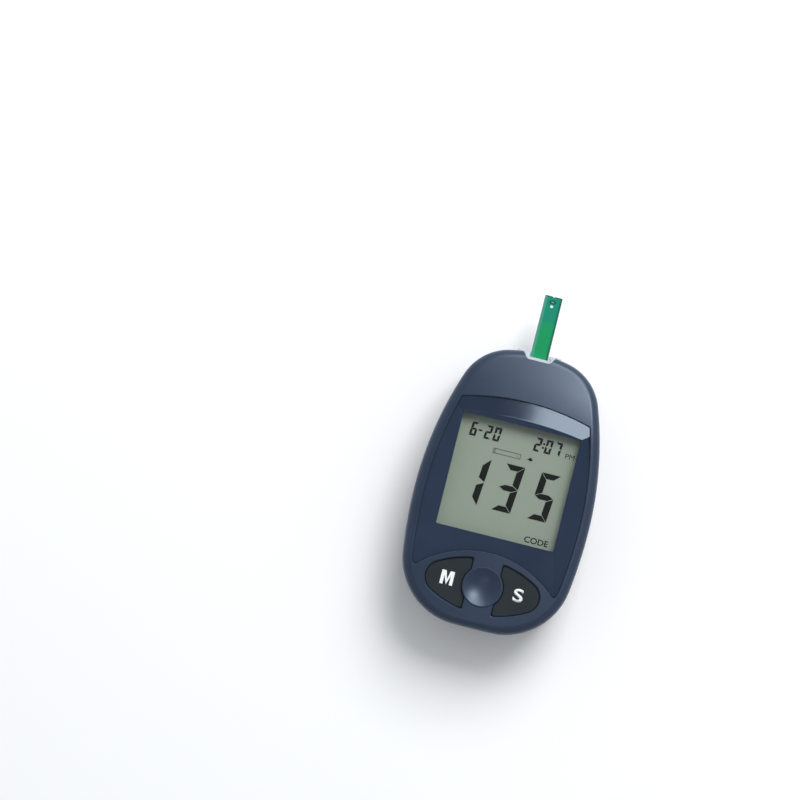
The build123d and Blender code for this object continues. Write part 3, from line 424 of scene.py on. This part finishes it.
# Painted highlight along the carrier's left edge and painted shade along its right edge.
overlay_print_and_painted_light(base_finish, mask_along(base_finish, "X", -margin_x, -side_x), carrier_painted_highlight)
overlay_print_and_painted_light(base_finish, mask_along(base_finish, "X", margin_x, side_x), carrier_painted_shade)
grain(base_finish, 5000.0, 0.08)
dress(base_finish, "strip_base")

holder_finish = finish_named(
    "holder_clear", (0.86, 0.95, 0.99), 0.22, Transmission_Weight=0.3, IOR=1.49, Coat_Weight=0.3
)
polish(holder_finish, 0.18, 0.30, 200.0)
grain(holder_finish, 4000.0, 0.08)
dress(holder_finish, "strip_holder")
print("strip dressed")

# %% [markdown]
# ## Small and inner parts
#
# These show only through the port, the chip slot, the jack, the screw bores and the open
# battery well, or when the meter is taken apart. Each still gets the finish of what it is
# made of: nickel plate, gilt springs, green solder mask, black and white mouldings, ceramic.

# %% Finishes of small and inner parts
steel_finish = finish_named("nickel_plate", (0.60, 0.61, 0.62), 0.3, Metallic=1.0)
polish(steel_finish, 0.27, 0.33, 500.0)
grain(steel_finish, 9000.0, 0.1)
dress(steel_finish, "case_screws", "board_screws", "coin_cell", "clock_crystal")

gilt_finish = finish_named("gilt_spring", (0.78, 0.60, 0.28), 0.28, Metallic=1.0)
polish(gilt_finish, 0.2, 0.35, 800.0)
dress(
    gilt_finish,
    "battery_contact_positive",
    "battery_contact_negative",
    "strip_contacts",
    "code_contacts",
)

board_finish = finish_named("solder_mask", (0.012, 0.13, 0.05), 0.35, Coat_Weight=0.4)
mottle(board_finish, (0.010, 0.11, 0.045), (0.016, 0.15, 0.06), 400.0)
grain(board_finish, 2500.0, 0.1)
dress(board_finish, "main_board")

black_finish = finish_named("moulded_black", (0.018, 0.018, 0.020), 0.5)
mottle(black_finish, (0.016, 0.016, 0.018), (0.024, 0.024, 0.026), 200.0)
grain(black_finish, 4000.0, 0.2)
dress(black_finish, "microcontroller", "strip_connector", "code_socket", "data_jack")

chip_finish = finish_named("chip_grey", (0.09, 0.10, 0.12), 0.5)
mottle(chip_finish, (0.085, 0.095, 0.115), (0.10, 0.11, 0.13), 200.0)
grain(chip_finish, 3600.0, 0.25)
dress(chip_finish, "code_chip")

white_finish = finish_named("holder_white", (0.72, 0.72, 0.69), 0.5)
grain(white_finish, 3600.0, 0.2)
dress(white_finish, "lcd_holder")

zebra_finish = finish_named("zebra_rubber", (0.5, 0.14, 0.27), 0.6)
grain(zebra_finish, 6000.0, 0.2)
dress(zebra_finish, "zebra_strip")

ceramic_finish = finish_named("ceramic_parts", (0.42, 0.33, 0.23), 0.4)
mottle(ceramic_finish, (0.38, 0.29, 0.20), (0.46, 0.37, 0.27), 700.0)
dress(ceramic_finish, "board_components")
print("inner parts dressed")

# %% [markdown]
# ## Working on new pieces
#
# The frame arrives with every node selected, and an operator acts on all that is selected,
# so each step starts by letting go of everything. A finished piece keeps its object at the
# origin and its place in its mesh, so a start shape that was placed or scaled is settled at
# once. In edit mode only what the next operator should move is selected, by its place.

# %% Helpers for selecting


def let_go():
    """Leave edit mode and deselect everything."""
    if bpy.context.object and bpy.context.object.mode != "OBJECT":
        bpy.ops.object.mode_set(mode="OBJECT")
    bpy.ops.object.select_all(action="DESELECT")


def pick(*objects):
    """Select these objects and make the last one active."""
    let_go()
    for one in objects:
        one.select_set(True)
    bpy.context.view_layer.objects.active = objects[-1]


def settle(obj):
    """Put an object's place, turn and scale into its mesh."""
    pick(obj)
    bpy.ops.object.transform_apply(location=True, rotation=True, scale=True)
    return obj


def edit_mesh(obj, kind):
    """Enter edit mode with nothing selected, ready to pick corners, edges or faces."""
    pick(obj)
    bpy.ops.object.mode_set(mode="EDIT")
    bpy.ops.mesh.select_mode(type=kind)
    bpy.ops.mesh.select_all(action="DESELECT")
    return bmesh.from_edit_mesh(obj.data)


def pull(obj, start, end):
    """Move the corner of a flat mesh that is nearest to one place to another place."""
    mesh = edit_mesh(obj, "VERT")
    corner = min(mesh.verts, key=lambda vert: (vert.co - Vector(start)).length)
    corner.select_set(True)
    bmesh.update_edit_mesh(obj.data)
    bpy.ops.transform.translate(value=Vector(end) - corner.co)
    bpy.ops.object.mode_set(mode="OBJECT")


print("helpers for selecting are ready")

# %% [markdown]
# ## The display's bars
#
# Each digit is built from seven bars, and three bar shapes serve for all of them: a
# trapezium for the top and the bottom, a longer one for the uprights, and a long hexagon for
# the middle. A bar starts as a plane. The corners of its inner side are drawn in, so that
# bars meet in mitres at the digit's corners, or points are extruded out of its ends and
# merged.

# %% Bars


def plain_bar(length, width):
    """A flat bar along X, centred on the origin."""
    let_go()
    bpy.ops.mesh.primitive_plane_add(size=1.0)
    bar = bpy.context.object
    bar.scale = (length, width, 1.0)
    return settle(bar)


def mitred_bar(length, width, start_cut, end_cut):
    """A bar whose lower side is drawn in by a cut at each end."""
    bar = plain_bar(length, width)
    low = -width / 2
    pull(bar, (-length / 2, low, 0), (-length / 2 + start_cut, low, 0))
    pull(bar, (length / 2, low, 0), (length / 2 - end_cut, low, 0))
    return bar


def pointed_bar(length, width, point):
    """A bar with a point drawn out of each end."""
    bar = plain_bar(length, width)
    touching = width / 100
    for side in (-1, 1):
        mesh = edit_mesh(bar, "EDGE")
        for edge in mesh.edges:
            middle = (edge.verts[0].co.x + edge.verts[1].co.x) / 2
            edge.select_set(abs(middle - side * length / 2) < touching)
        bmesh.update_edit_mesh(bar.data)
        bpy.ops.mesh.extrude_region_move(TRANSFORM_OT_translate={"value": (side * point, 0, 0)})
        bpy.ops.mesh.merge(type="CENTER")
        bpy.ops.object.mode_set(mode="OBJECT")
    return bar


print("helpers for bars are ready")

# %% [markdown]
# ## A digit
#
# The bars are known by letters: a, b, c, d, e and f go clockwise from the top, and g is the
# middle one. One bar of each shape is made, and the upright one both ways round. They are
# copied to their lit places, leaned to the right as such digits are, and then thrown away.
# Each copy has its own mesh.

# %% Digits
lean = math.radians(4.9)
lit_bars = {
    "0": "abcdef",
    "1": "bc",
    "2": "abged",
    "3": "abcdg",
    "5": "afgcd",
    "6": "afgedc",
    "7": "abc",
}


def copy_of(obj, matrix):
    """A copy with its own mesh, moved by a matrix."""
    twin = obj.copy()
    twin.data = obj.data.copy()
    bpy.context.scene.collection.objects.link(twin)
    twin.data.transform(matrix)
    return twin


def join(parts, name):
    """Join meshes into one piece with a plain name."""
    pick(*parts)
    bpy.ops.object.join()
    piece = bpy.context.object
    piece.name = name
    piece.data.name = name
    return piece


def digit(text, left, bottom, width, height, level, stroke, gap, corner_cut=None):
    """One digit as a list of bars, with its lower left corner at (left, bottom).

    Level bars and uprights (strokes) have their own thickness, with a gap between bars. The
    uprights meet the corners in mitres, which are as long as the stroke is wide or as a cut.
    """
    half = height / 2
    mitre = corner_cut or stroke
    notch = 0.55 * stroke
    point = 0.9 * level
    across_bar = mitred_bar(width - gap, level, level, level)
    corner_first = mitred_bar(half - gap, stroke, mitre, notch)
    middle_first = mitred_bar(half - gap, stroke, notch, mitre)
    middle_bar = pointed_bar(width - 2 * point - 2 * gap, level, point)
    quarter = math.pi / 2
    rise = half + half / 2
    places = {
        "a": (across_bar, (width / 2, height - level / 2), 0.0),
        "d": (across_bar, (width / 2, level / 2), 2 * quarter),
        "g": (middle_bar, (width / 2, half), 0.0),
        "f": (middle_first, (stroke / 2, rise), quarter),
        "e": (corner_first, (stroke / 2, half / 2), quarter),
        "b": (corner_first, (width - stroke / 2, rise), -quarter),
        "c": (middle_first, (width - stroke / 2, half / 2), -quarter),
    }
    slant = Matrix.Identity(4)
    slant[0][1] = math.tan(lean)
    corner = Matrix.Translation((left, bottom, 0))
    made = []
    for letter in lit_bars[text]:
        bar, (x, y), turn_by = places[letter]
        step = Matrix.Translation((x, y, 0)) @ Matrix.Rotation(turn_by, 4, "Z")
        made.append(copy_of(bar, corner @ slant @ step))
    for bar in (across_bar, corner_first, middle_first, middle_bar):
        bpy.data.objects.remove(bar)
    return made


print("digits that can be lit:", ", ".join(lit_bars))

# %% [markdown]
# ## The reading
#
# Three large digits fill the middle of the glass. The 1 has longer mitres than the others,
# because its two uprights meet no level bar.

# %% The reading
big_style = {
    "bottom": -6.35 * MM,
    "width": 5.9 * MM,
    "height": 14.5 * MM,
    "level": 1.7 * MM,
    "stroke": 2.05 * MM,
    "gap": 0.2 * MM,
}
reading = digit("1", -13.5 * MM, corner_cut=2.2 * MM, **big_style)
reading += digit("3", -3.1 * MM, **big_style)
reading += digit("5", 7.95 * MM, **big_style)
reading = join(reading, "display_reading")
print("faces in the reading:", len(reading.data.polygons))

# %% [markdown]
# ## Date and time
#
# The small figures along the top come from the same function with another style. A short
# pointed bar is the dash of the date, and two small dots are the colon of the time.

# %% The small figures
small_style = {
    "bottom": 13.75 * MM,
    "width": 2.0 * MM,
    "height": 4.2 * MM,
    "level": 0.62 * MM,
    "stroke": 0.68 * MM,
    "gap": 0.06 * MM,
}
small_bottom = small_style["bottom"]
small_height = small_style["height"]
date_lefts = [("6", -14.95), ("2", -10.5), ("0", -7.8)]
time_lefts = [("2", 4.8), ("0", 8.1), ("7", 10.95)]
figures = []
for text, left in date_lefts + time_lefts:
    figures += digit(text, left * MM, **small_style)

dash_x = -11.8 * MM
dash = pointed_bar(length=0.85 * MM, width=0.5 * MM, point=0.22 * MM)
dash.data.transform(Matrix.Translation((dash_x, small_bottom + small_height / 2, 0)))
figures.append(dash)

colon_x = 7.5 * MM
colon_shares = (0.36, 0.64)
dot_radius = 0.34 * MM
for share in colon_shares:
    let_go()
    bpy.ops.mesh.primitive_circle_add(vertices=16, radius=dot_radius, fill_type="NGON")
    dot = bpy.context.object
    rise = share * small_height
    dot.data.transform(
        Matrix.Translation((colon_x + rise * math.tan(lean), small_bottom + rise, 0))
    )
    figures.append(dot)
figures = join(figures, "display_figures")
print("faces in the small figures:", len(figures.data.polygons))

# %% [markdown]
# ## Words and signs on the display
#
# PM and CODE are small fixed words, so they are text objects turned into flat meshes, then
# squeezed to the width that the glass gives them.

# %% Words on the display


def lettering(text, name, size, x, y, width, weight=0.0):
    """Text as a flat mesh, squeezed to a width, with its lower left corner at (x, y).

    The weight thickens the strokes by that share of the letter's size.
    """
    let_go()
    bpy.ops.object.text_add()
    words = bpy.context.object
    words.data.body = text
    words.data.size = size
    words.data.offset = weight * size
    bpy.ops.object.convert(target="MESH")
    words = bpy.context.object
    xs = [v.co.x for v in words.data.vertices]
    ys = [v.co.y for v in words.data.vertices]
    fit = Matrix.Diagonal((width / (max(xs) - min(xs)), 1.0, 1.0, 1.0))
    words.data.transform(Matrix.Translation((-min(xs), -min(ys), 0)))
    words.data.transform(Matrix.Translation((x, y, 0)) @ fit)
    words.name = name
    words.data.name = name
    return words


afternoon = lettering(
    "PM", "display_pm", size=2.2 * MM, x=14.75 * MM, y=small_bottom, width=2.8 * MM
)
code_word = lettering(
    "CODE", "display_code", size=2.5 * MM, x=8.8 * MM, y=-13.45 * MM, width=7.3 * MM, weight=0.015
)
print("words made:", afternoon.name, code_word.name)

# %% [markdown]
# ## The little strip sign
#
# The sign that asks for a sample is the outline of a strip, inset out of a plain bar, with a
# grip near its left end and a spot near its right.

# %% The little strip sign


def hollow(obj, line):
    """Leave only an outline of this width of a flat mesh."""
    edit_mesh(obj, "FACE")
    bpy.ops.mesh.select_all(action="SELECT")
    bpy.ops.mesh.inset(thickness=line)
    bpy.ops.mesh.delete(type="FACE")
    bpy.ops.object.mode_set(mode="OBJECT")


sign_middle = Vector((-2.45 * MM, 10.98 * MM, 0))
sign_length = 8.6 * MM
sign_width = 1.65 * MM
sign_line = 0.27 * MM
grip_in = 0.6 * MM
spot_in = 1.1 * MM
sign = plain_bar(sign_length, sign_width)
hollow(sign, sign_line)
sign_grip = plain_bar(length=0.3 * MM, width=sign_width - 0.4 * MM)
sign_grip.data.transform(Matrix.Translation((-sign_length / 2 + grip_in, 0, 0)))
sign_spot = plain_bar(length=0.4 * MM, width=0.25 * MM)
sign_spot.data.transform(Matrix.Translation((sign_length / 2 - spot_in, 0, 0)))
sign = join([sign_grip, sign_spot, sign], "display_strip_sign")
sign.data.transform(Matrix.Translation(sign_middle))
print("faces in the sign:", len(sign.data.polygons))

# %% [markdown]
# ## The drop
#
# The drop beside it starts as a circle of twelve corners. Three of them are pulled outwards:
# the left one most, the right one less and the top one least.

# %% The drop
drop_radius = 0.5 * MM
drop_middle = Vector((4.85 * MM, 10.9 * MM, 0))
left_corner = Vector((-drop_radius, 0, 0))
right_corner = Vector((drop_radius, 0, 0))
top_corner = Vector((0, drop_radius, 0))
let_go()
bpy.ops.mesh.primitive_circle_add(vertices=12, radius=drop_radius, fill_type="NGON")
drop = bpy.context.object
pull(drop, left_corner, 2.2 * left_corner - 0.3 * top_corner)
pull(drop, right_corner, 1.7 * right_corner)
pull(drop, top_corner, 1.35 * top_corner + 0.3 * left_corner)
drop.data.transform(Matrix.Translation(drop_middle))
drop.name = "display_drop"
print("corners in the drop:", len(drop.data.vertices))

# %% [markdown]
# ## Laying the print on the glass
#
# All of this is dark liquid crystal, just over the display's sheet. Each flat print is moved
# up to the sheet and gets a thickness of a few hundredths of a millimetre, so that it is a
# closed shell. The strip sign is thinner ink and looks grey.

# %% Print on the glass
bar_plane_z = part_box("lcd_panel")[1].z
ink_thickness = 0.03 * MM


def thicken(obj, thickness):
    """Give a flat piece its thickness, downwards from its face."""
    pick(obj)
    solid = obj.modifiers.new("thickness", "SOLIDIFY")
    solid.thickness = thickness
    solid.offset = -1.0
    bpy.ops.object.modifier_apply(modifier=solid.name)
    return obj


ink_finish = finish_named("display_ink", (0.006, 0.007, 0.006), 0.3, Specular_IOR_Level=0.1)
mottle(ink_finish, (0.005, 0.006, 0.005), (0.008, 0.009, 0.008), 200.0)
faint_finish = finish_named("display_faint_ink", (0.065, 0.078, 0.065), 0.4)
mottle(faint_finish, (0.055, 0.068, 0.055), (0.08, 0.09, 0.08), 200.0)
for piece, finish in (
    (reading, ink_finish),
    (figures, ink_finish),
    (afternoon, ink_finish),
    (code_word, ink_finish),
    (sign, faint_finish),
    (drop, ink_finish),
):
    piece.data.transform(Matrix.Translation((0, 0, bar_plane_z + ink_thickness)))
    thicken(piece, ink_thickness)
    paint(piece, finish)
    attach(piece, "case")
print("display written")

# %% [markdown]
# ## Key legends
#
# M and S are printed on the keys in white, in a bold plain letter. A text object can be made
# bolder with its offset, which suits the round S but spoils the sharp corners of an M. So
# the M is modelled: half of it is a stem and a slanting stroke, drawn out of one small
# plane, and a mirror adds the other half.

# %% Letter M


def draw_out(obj, first, second, by):
    """Extrude the edge between two corners of a flat mesh."""
    mesh = edit_mesh(obj, "EDGE")
    middle = (Vector(first) + Vector(second)) / 2
    edge = min(
        mesh.edges, key=lambda one: ((one.verts[0].co + one.verts[1].co) / 2 - middle).length
    )
    edge.select_set(True)
    bmesh.update_edit_mesh(obj.data)
    bpy.ops.mesh.extrude_region_move(TRANSFORM_OT_translate={"value": by})
    bpy.ops.object.mode_set(mode="OBJECT")


def bold_m(wide, tall, name):
    """A flat bold M with its lower left corner at the origin.

    Each stroke is drawn out roughly, and its new corners are then pulled to their places.
    """
    stem = 0.25 * wide
    armpit = 0.66 * tall
    shoulder = 0.34 * wide
    valley = 0.36 * tall
    tip = 0.10 * wide
    left = -wide / 2
    let_go()
    bpy.ops.mesh.primitive_plane_add(size=1.0)
    letter = bpy.context.object
    letter.scale = (stem, armpit, 1.0)
    letter.location = (left + stem / 2, armpit / 2, 0)
    settle(letter)
    inner = left + stem
    draw_out(letter, (left, armpit, 0), (inner, armpit, 0), (0, tall - armpit, 0))
    pull(letter, (inner, tall, 0), (left + shoulder, tall, 0))
    draw_out(letter, (inner, armpit, 0), (left + shoulder, tall, 0), (-inner / 2, -armpit / 2, 0))
    pull(letter, (inner / 2, armpit / 2, 0), (-tip, 0, 0))
    pull(letter, (left + shoulder - inner / 2, tall - armpit / 2, 0), (0, valley, 0))
    draw_out(letter, (-tip, 0, 0), (0, valley, 0), (tip, 0, 0))
    pull(letter, (tip, valley, 0), (0, valley, 0))
    pick(letter)
    flip = letter.modifiers.new("other half", "MIRROR")
    flip.use_clip = True
    bpy.ops.object.modifier_apply(modifier=flip.name)
    bpy.ops.object.mode_set(mode="EDIT")
    bpy.ops.mesh.select_all(action="SELECT")
    bpy.ops.mesh.remove_doubles(threshold=0.01 * MM)
    bpy.ops.mesh.normals_make_consistent(inside=False)
    bpy.ops.object.mode_set(mode="OBJECT")
    letter.data.transform(Matrix.Translation((-left, 0, 0)))
    letter.name = name
    letter.data.name = name
    return letter


m_mark = bold_m(wide=3.9 * MM, tall=4.2 * MM, name="legend_m")
print("corners in the M:", len(m_mark.data.vertices))

# %% [markdown]
# ## Laying the legends on the keys
#
# A key's face is slightly crowned. A shrinkwrap that looks straight down lays each letter on
# it, and a thickness then gives the print its body. Each letter rides on its own key.

# %% Laying the legends
print_finish = finish_named("white_print", (0.83, 0.85, 0.86), 0.45)
mottle(print_finish, (0.80, 0.82, 0.83), (0.86, 0.88, 0.89), 300.0)
legend_thickness = 0.05 * MM
legend_foot = -31.5 * MM
m_mark.data.transform(Matrix.Translation((-12.8 * MM, legend_foot, 0)))
s_mark = lettering(
    "S", "legend_s", size=5.4 * MM, x=9.55 * MM, y=legend_foot, width=3.0 * MM, weight=0.022
)
legends = [(m_mark, "m_button", "m_key"), (s_mark, "s_button", "s_key")]
for mark, node, body in legends:
    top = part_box(node)[1].z
    mark.data.transform(Matrix.Translation((0, 0, top + MM)))
    pick(mark)
    wrap = mark.modifiers.new("lay on the key", "SHRINKWRAP")
    wrap.target = nodes[node]
    wrap.wrap_method = "PROJECT"
    wrap.use_project_z = True
    wrap.use_negative_direction = True
    wrap.use_positive_direction = False
    wrap.offset = legend_thickness
    bpy.ops.object.modifier_apply(modifier=wrap.name)
    thicken(mark, legend_thickness)
    paint(mark, print_finish)
    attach(mark, body)
print("legends laid:", [row[0].name for row in legends])

# %% [markdown]
# ## The mark at the strip's tip
#
# Near its tip the film shows the little chamber that draws in the sample: a dark oval rim
# round a pale slit. It is a flat ring, hollowed out of a circle that was squeezed to an oval,
# and a short pointed bar. Both are laid just over the film and ride with the strip.

# %% Chamber mark
chamber_half_width = 1.05 * MM
chamber_half_height = 0.62 * MM
chamber_line = 0.4 * MM
chamber_from_tip = 1.75 * MM
let_go()
bpy.ops.mesh.primitive_circle_add(vertices=32, radius=1.0, fill_type="NGON")
chamber = bpy.context.object
chamber.scale = (chamber_half_width, chamber_half_height, 1.0)
settle(chamber)
hollow(chamber, chamber_line)
chamber.name = "strip_chamber_rim"
slit = pointed_bar(length=0.6 * MM, width=0.2 * MM, point=0.15 * MM)
slit.name = "strip_chamber_slit"
rim_finish = finish_named("film_rim", (0.002, 0.07, 0.05), 0.4, Specular_IOR_Level=0.12)
mottle(rim_finish, (0.002, 0.06, 0.045), (0.002, 0.085, 0.06), 500.0)
slit_finish = finish_named("film_slit", (0.16, 0.42, 0.36), 0.4)
mottle(slit_finish, (0.14, 0.38, 0.33), (0.18, 0.46, 0.39), 500.0)
chamber_place = Vector((0, tip_y - chamber_from_tip, strip_high.z + ink_thickness))
for mark, finish in ((chamber, rim_finish), (slit, slit_finish)):
    mark.data.transform(Matrix.Translation(chamber_place))
    thicken(mark, ink_thickness)
    paint(mark, finish)
    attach(mark, "test_strip")
print("chamber marked")

# %% [markdown]
# ## The floor
#
# The meter lies face up on a plain pale surface, which isn't part of the object. It lies a
# hair below the back face, so that the two never share a plane.

# %% Floor
floor_size = 4.0
floor_drop = 0.02 * MM
let_go()
bpy.ops.mesh.primitive_plane_add(size=floor_size, location=(0, 0, -floor_drop))
floor = bpy.context.object
floor.name = "floor"
floor_finish = finish_named("pale_floor", (0.93, 0.94, 0.95), 0.55)
mottle(floor_finish, (0.92, 0.93, 0.94), (0.94, 0.95, 0.96), 3.0)
paint(floor, floor_finish)
print("floor laid:", floor_size, "m square")

# %% [markdown]
# ## The studio
#
# A white tent lights the meter evenly from its sides. It is dim straight overhead, so that
# the flat parts of the face, which mirror that part, stay dark and show their color. The
# tent is a world whose strength is worked out from the direction in which a ray leaves: it
# fades between two angles from straight up, and is brighter towards the strip's side.

# %% White tent
tent_overhead = 0.22
tent_sides = 0.78
dim_within = math.radians(22)
full_beyond = math.radians(50)
tent_tilt = 0.3
tent_color = (0.95, 0.975, 1.0, 1.0)

world = bpy.data.worlds.new("studio")
bpy.context.scene.world = world
world.use_nodes = True
tent = world.node_tree
heading = tent.nodes.new("ShaderNodeTexCoord")
apart = tent.nodes.new("ShaderNodeSeparateXYZ")
tent.links.new(heading.outputs["Generated"], apart.inputs[0])
fade = tent.nodes.new("ShaderNodeMapRange")
fade.interpolation_type = "SMOOTHSTEP"
fade.inputs["From Min"].default_value = math.cos(full_beyond)
fade.inputs["From Max"].default_value = math.cos(dim_within)
fade.inputs["To Min"].default_value = tent_sides
fade.inputs["To Max"].default_value = tent_overhead
tent.links.new(apart.outputs["Z"], fade.inputs["Value"])
side_share = math_node(tent, "MULTIPLY", apart.outputs["Y"], tent_tilt)
towards_strip = math_node(tent, "ADD", side_share, 1.0)
strength = math_node(tent, "MULTIPLY", fade.outputs["Result"], towards_strip)
backdrop = tent.nodes["Background"]
backdrop.inputs["Color"].default_value = tent_color
tent.links.new(strength, backdrop.inputs["Strength"])
bpy.context.scene.view_settings.view_transform = "Standard"
print("tent raised")

# %% [markdown]
# ## Three lights
#
# A smooth surface shows a light where it mirrors it, so each light's place follows from the
# slope of what it has to wake. The key light is large and far to the strip's side, and gives
# the soft shadow. The brow light is where the right part of the brow mirrors it, and the
# thumb dish, which is hollow, catches it too. The band light is small and on the near side:
# the band over the display is a cone, so it mirrors that light on its right part only, and
# the edge is soft. Those two are there for their mirror image alone, so they add nothing to
# matt surfaces.

# %% Lights


def soft_light(name, aim, across, along, away, wide, tall, brightness):
    """A rectangular area light that faces a point, with the brightness of its surface.

    From that point it is seen at two angles from straight up, in degrees: across is towards
    +X and along towards +Y. Away is its distance.
    """
    slopes = Vector((math.tan(math.radians(across)), math.tan(math.radians(along)), 1.0))
    place = aim + slopes.normalized() * away
    data = bpy.data.lights.new(name, "AREA")
    data.shape = "RECTANGLE"
    data.size = wide
    data.size_y = tall
    data.energy = brightness * math.pi * wide * tall
    lamp = bpy.data.objects.new(name, data)
    bpy.context.scene.collection.objects.link(lamp)
    lamp.location = place
    lamp.rotation_euler = (aim - place).to_track_quat("-Z", "Y").to_euler()
    return lamp


case_middle = Vector((0, 0, 10 * MM))
brow_point = Vector((12 * MM, 30 * MM, 20 * MM))
band_point = Vector((2 * MM, 24 * MM, 19 * MM))
soft_light(
    "key_light", case_middle, across=15, along=46, away=1.2, wide=0.7, tall=0.7, brightness=8.7
)
brow_light = soft_light(
    "brow_light", brow_point, across=17, along=20, away=1.0, wide=0.26, tall=0.26, brightness=28.0
)
band_light = soft_light(
    "band_light",
    band_point,
    across=-1.1,
    along=-20.8,
    away=1.0,
    wide=0.065,
    tall=0.16,
    brightness=11.0,
)
for lamp in (brow_light, band_light):
    lamp.visible_diffuse = False

# %% [markdown]
# ## The camera
#
# The camera looks almost straight down through a long lens, turned so that the body leans
# to the right. It stands over the body, a little towards its left and its lower end, and aims
# beside it, because the body isn't in the middle of the picture. Its distance follows from
# the width that the picture shows.

# %% Camera
view_width = 241.3 * MM
focal_length = 200.0
sensor_width = 36.0
see_no_further = 10.0
lean_of_body = math.radians(14.05)
tilt_left = math.radians(1.1)
tilt_down = math.radians(0.7)
aim_across = -31.8 * MM
aim_up = 27.5 * MM
aim_height = 9.5 * MM

camera_data = bpy.data.cameras.new("camera")
camera_data.lens = focal_length
camera_data.sensor_width = sensor_width
camera_data.clip_end = see_no_further
camera = bpy.data.objects.new("camera", camera_data)
bpy.context.scene.collection.objects.link(camera)
image_right = Vector((math.cos(lean_of_body), math.sin(lean_of_body), 0))
image_up = Vector((-math.sin(lean_of_body), math.cos(lean_of_body), 0))
target = image_right * aim_across + image_up * aim_up + Vector((0, 0, aim_height))
distance = view_width * focal_length / sensor_width
body_middle = Vector((0, 0, aim_height))
towards_camera = Vector((-math.tan(tilt_left), -math.tan(tilt_down), 1.0)).normalized()
camera.location = body_middle + towards_camera * distance
forward = (target - camera.location).normalized()
right = (image_right - forward * image_right.dot(forward)).normalized()
up = right.cross(forward)
camera.rotation_mode = "QUATERNION"
camera.rotation_quaternion = Matrix((right, up, -forward)).transposed().to_quaternion()
bpy.context.scene.camera = camera
print("camera placed at", [round(v, 3) for v in camera.location])
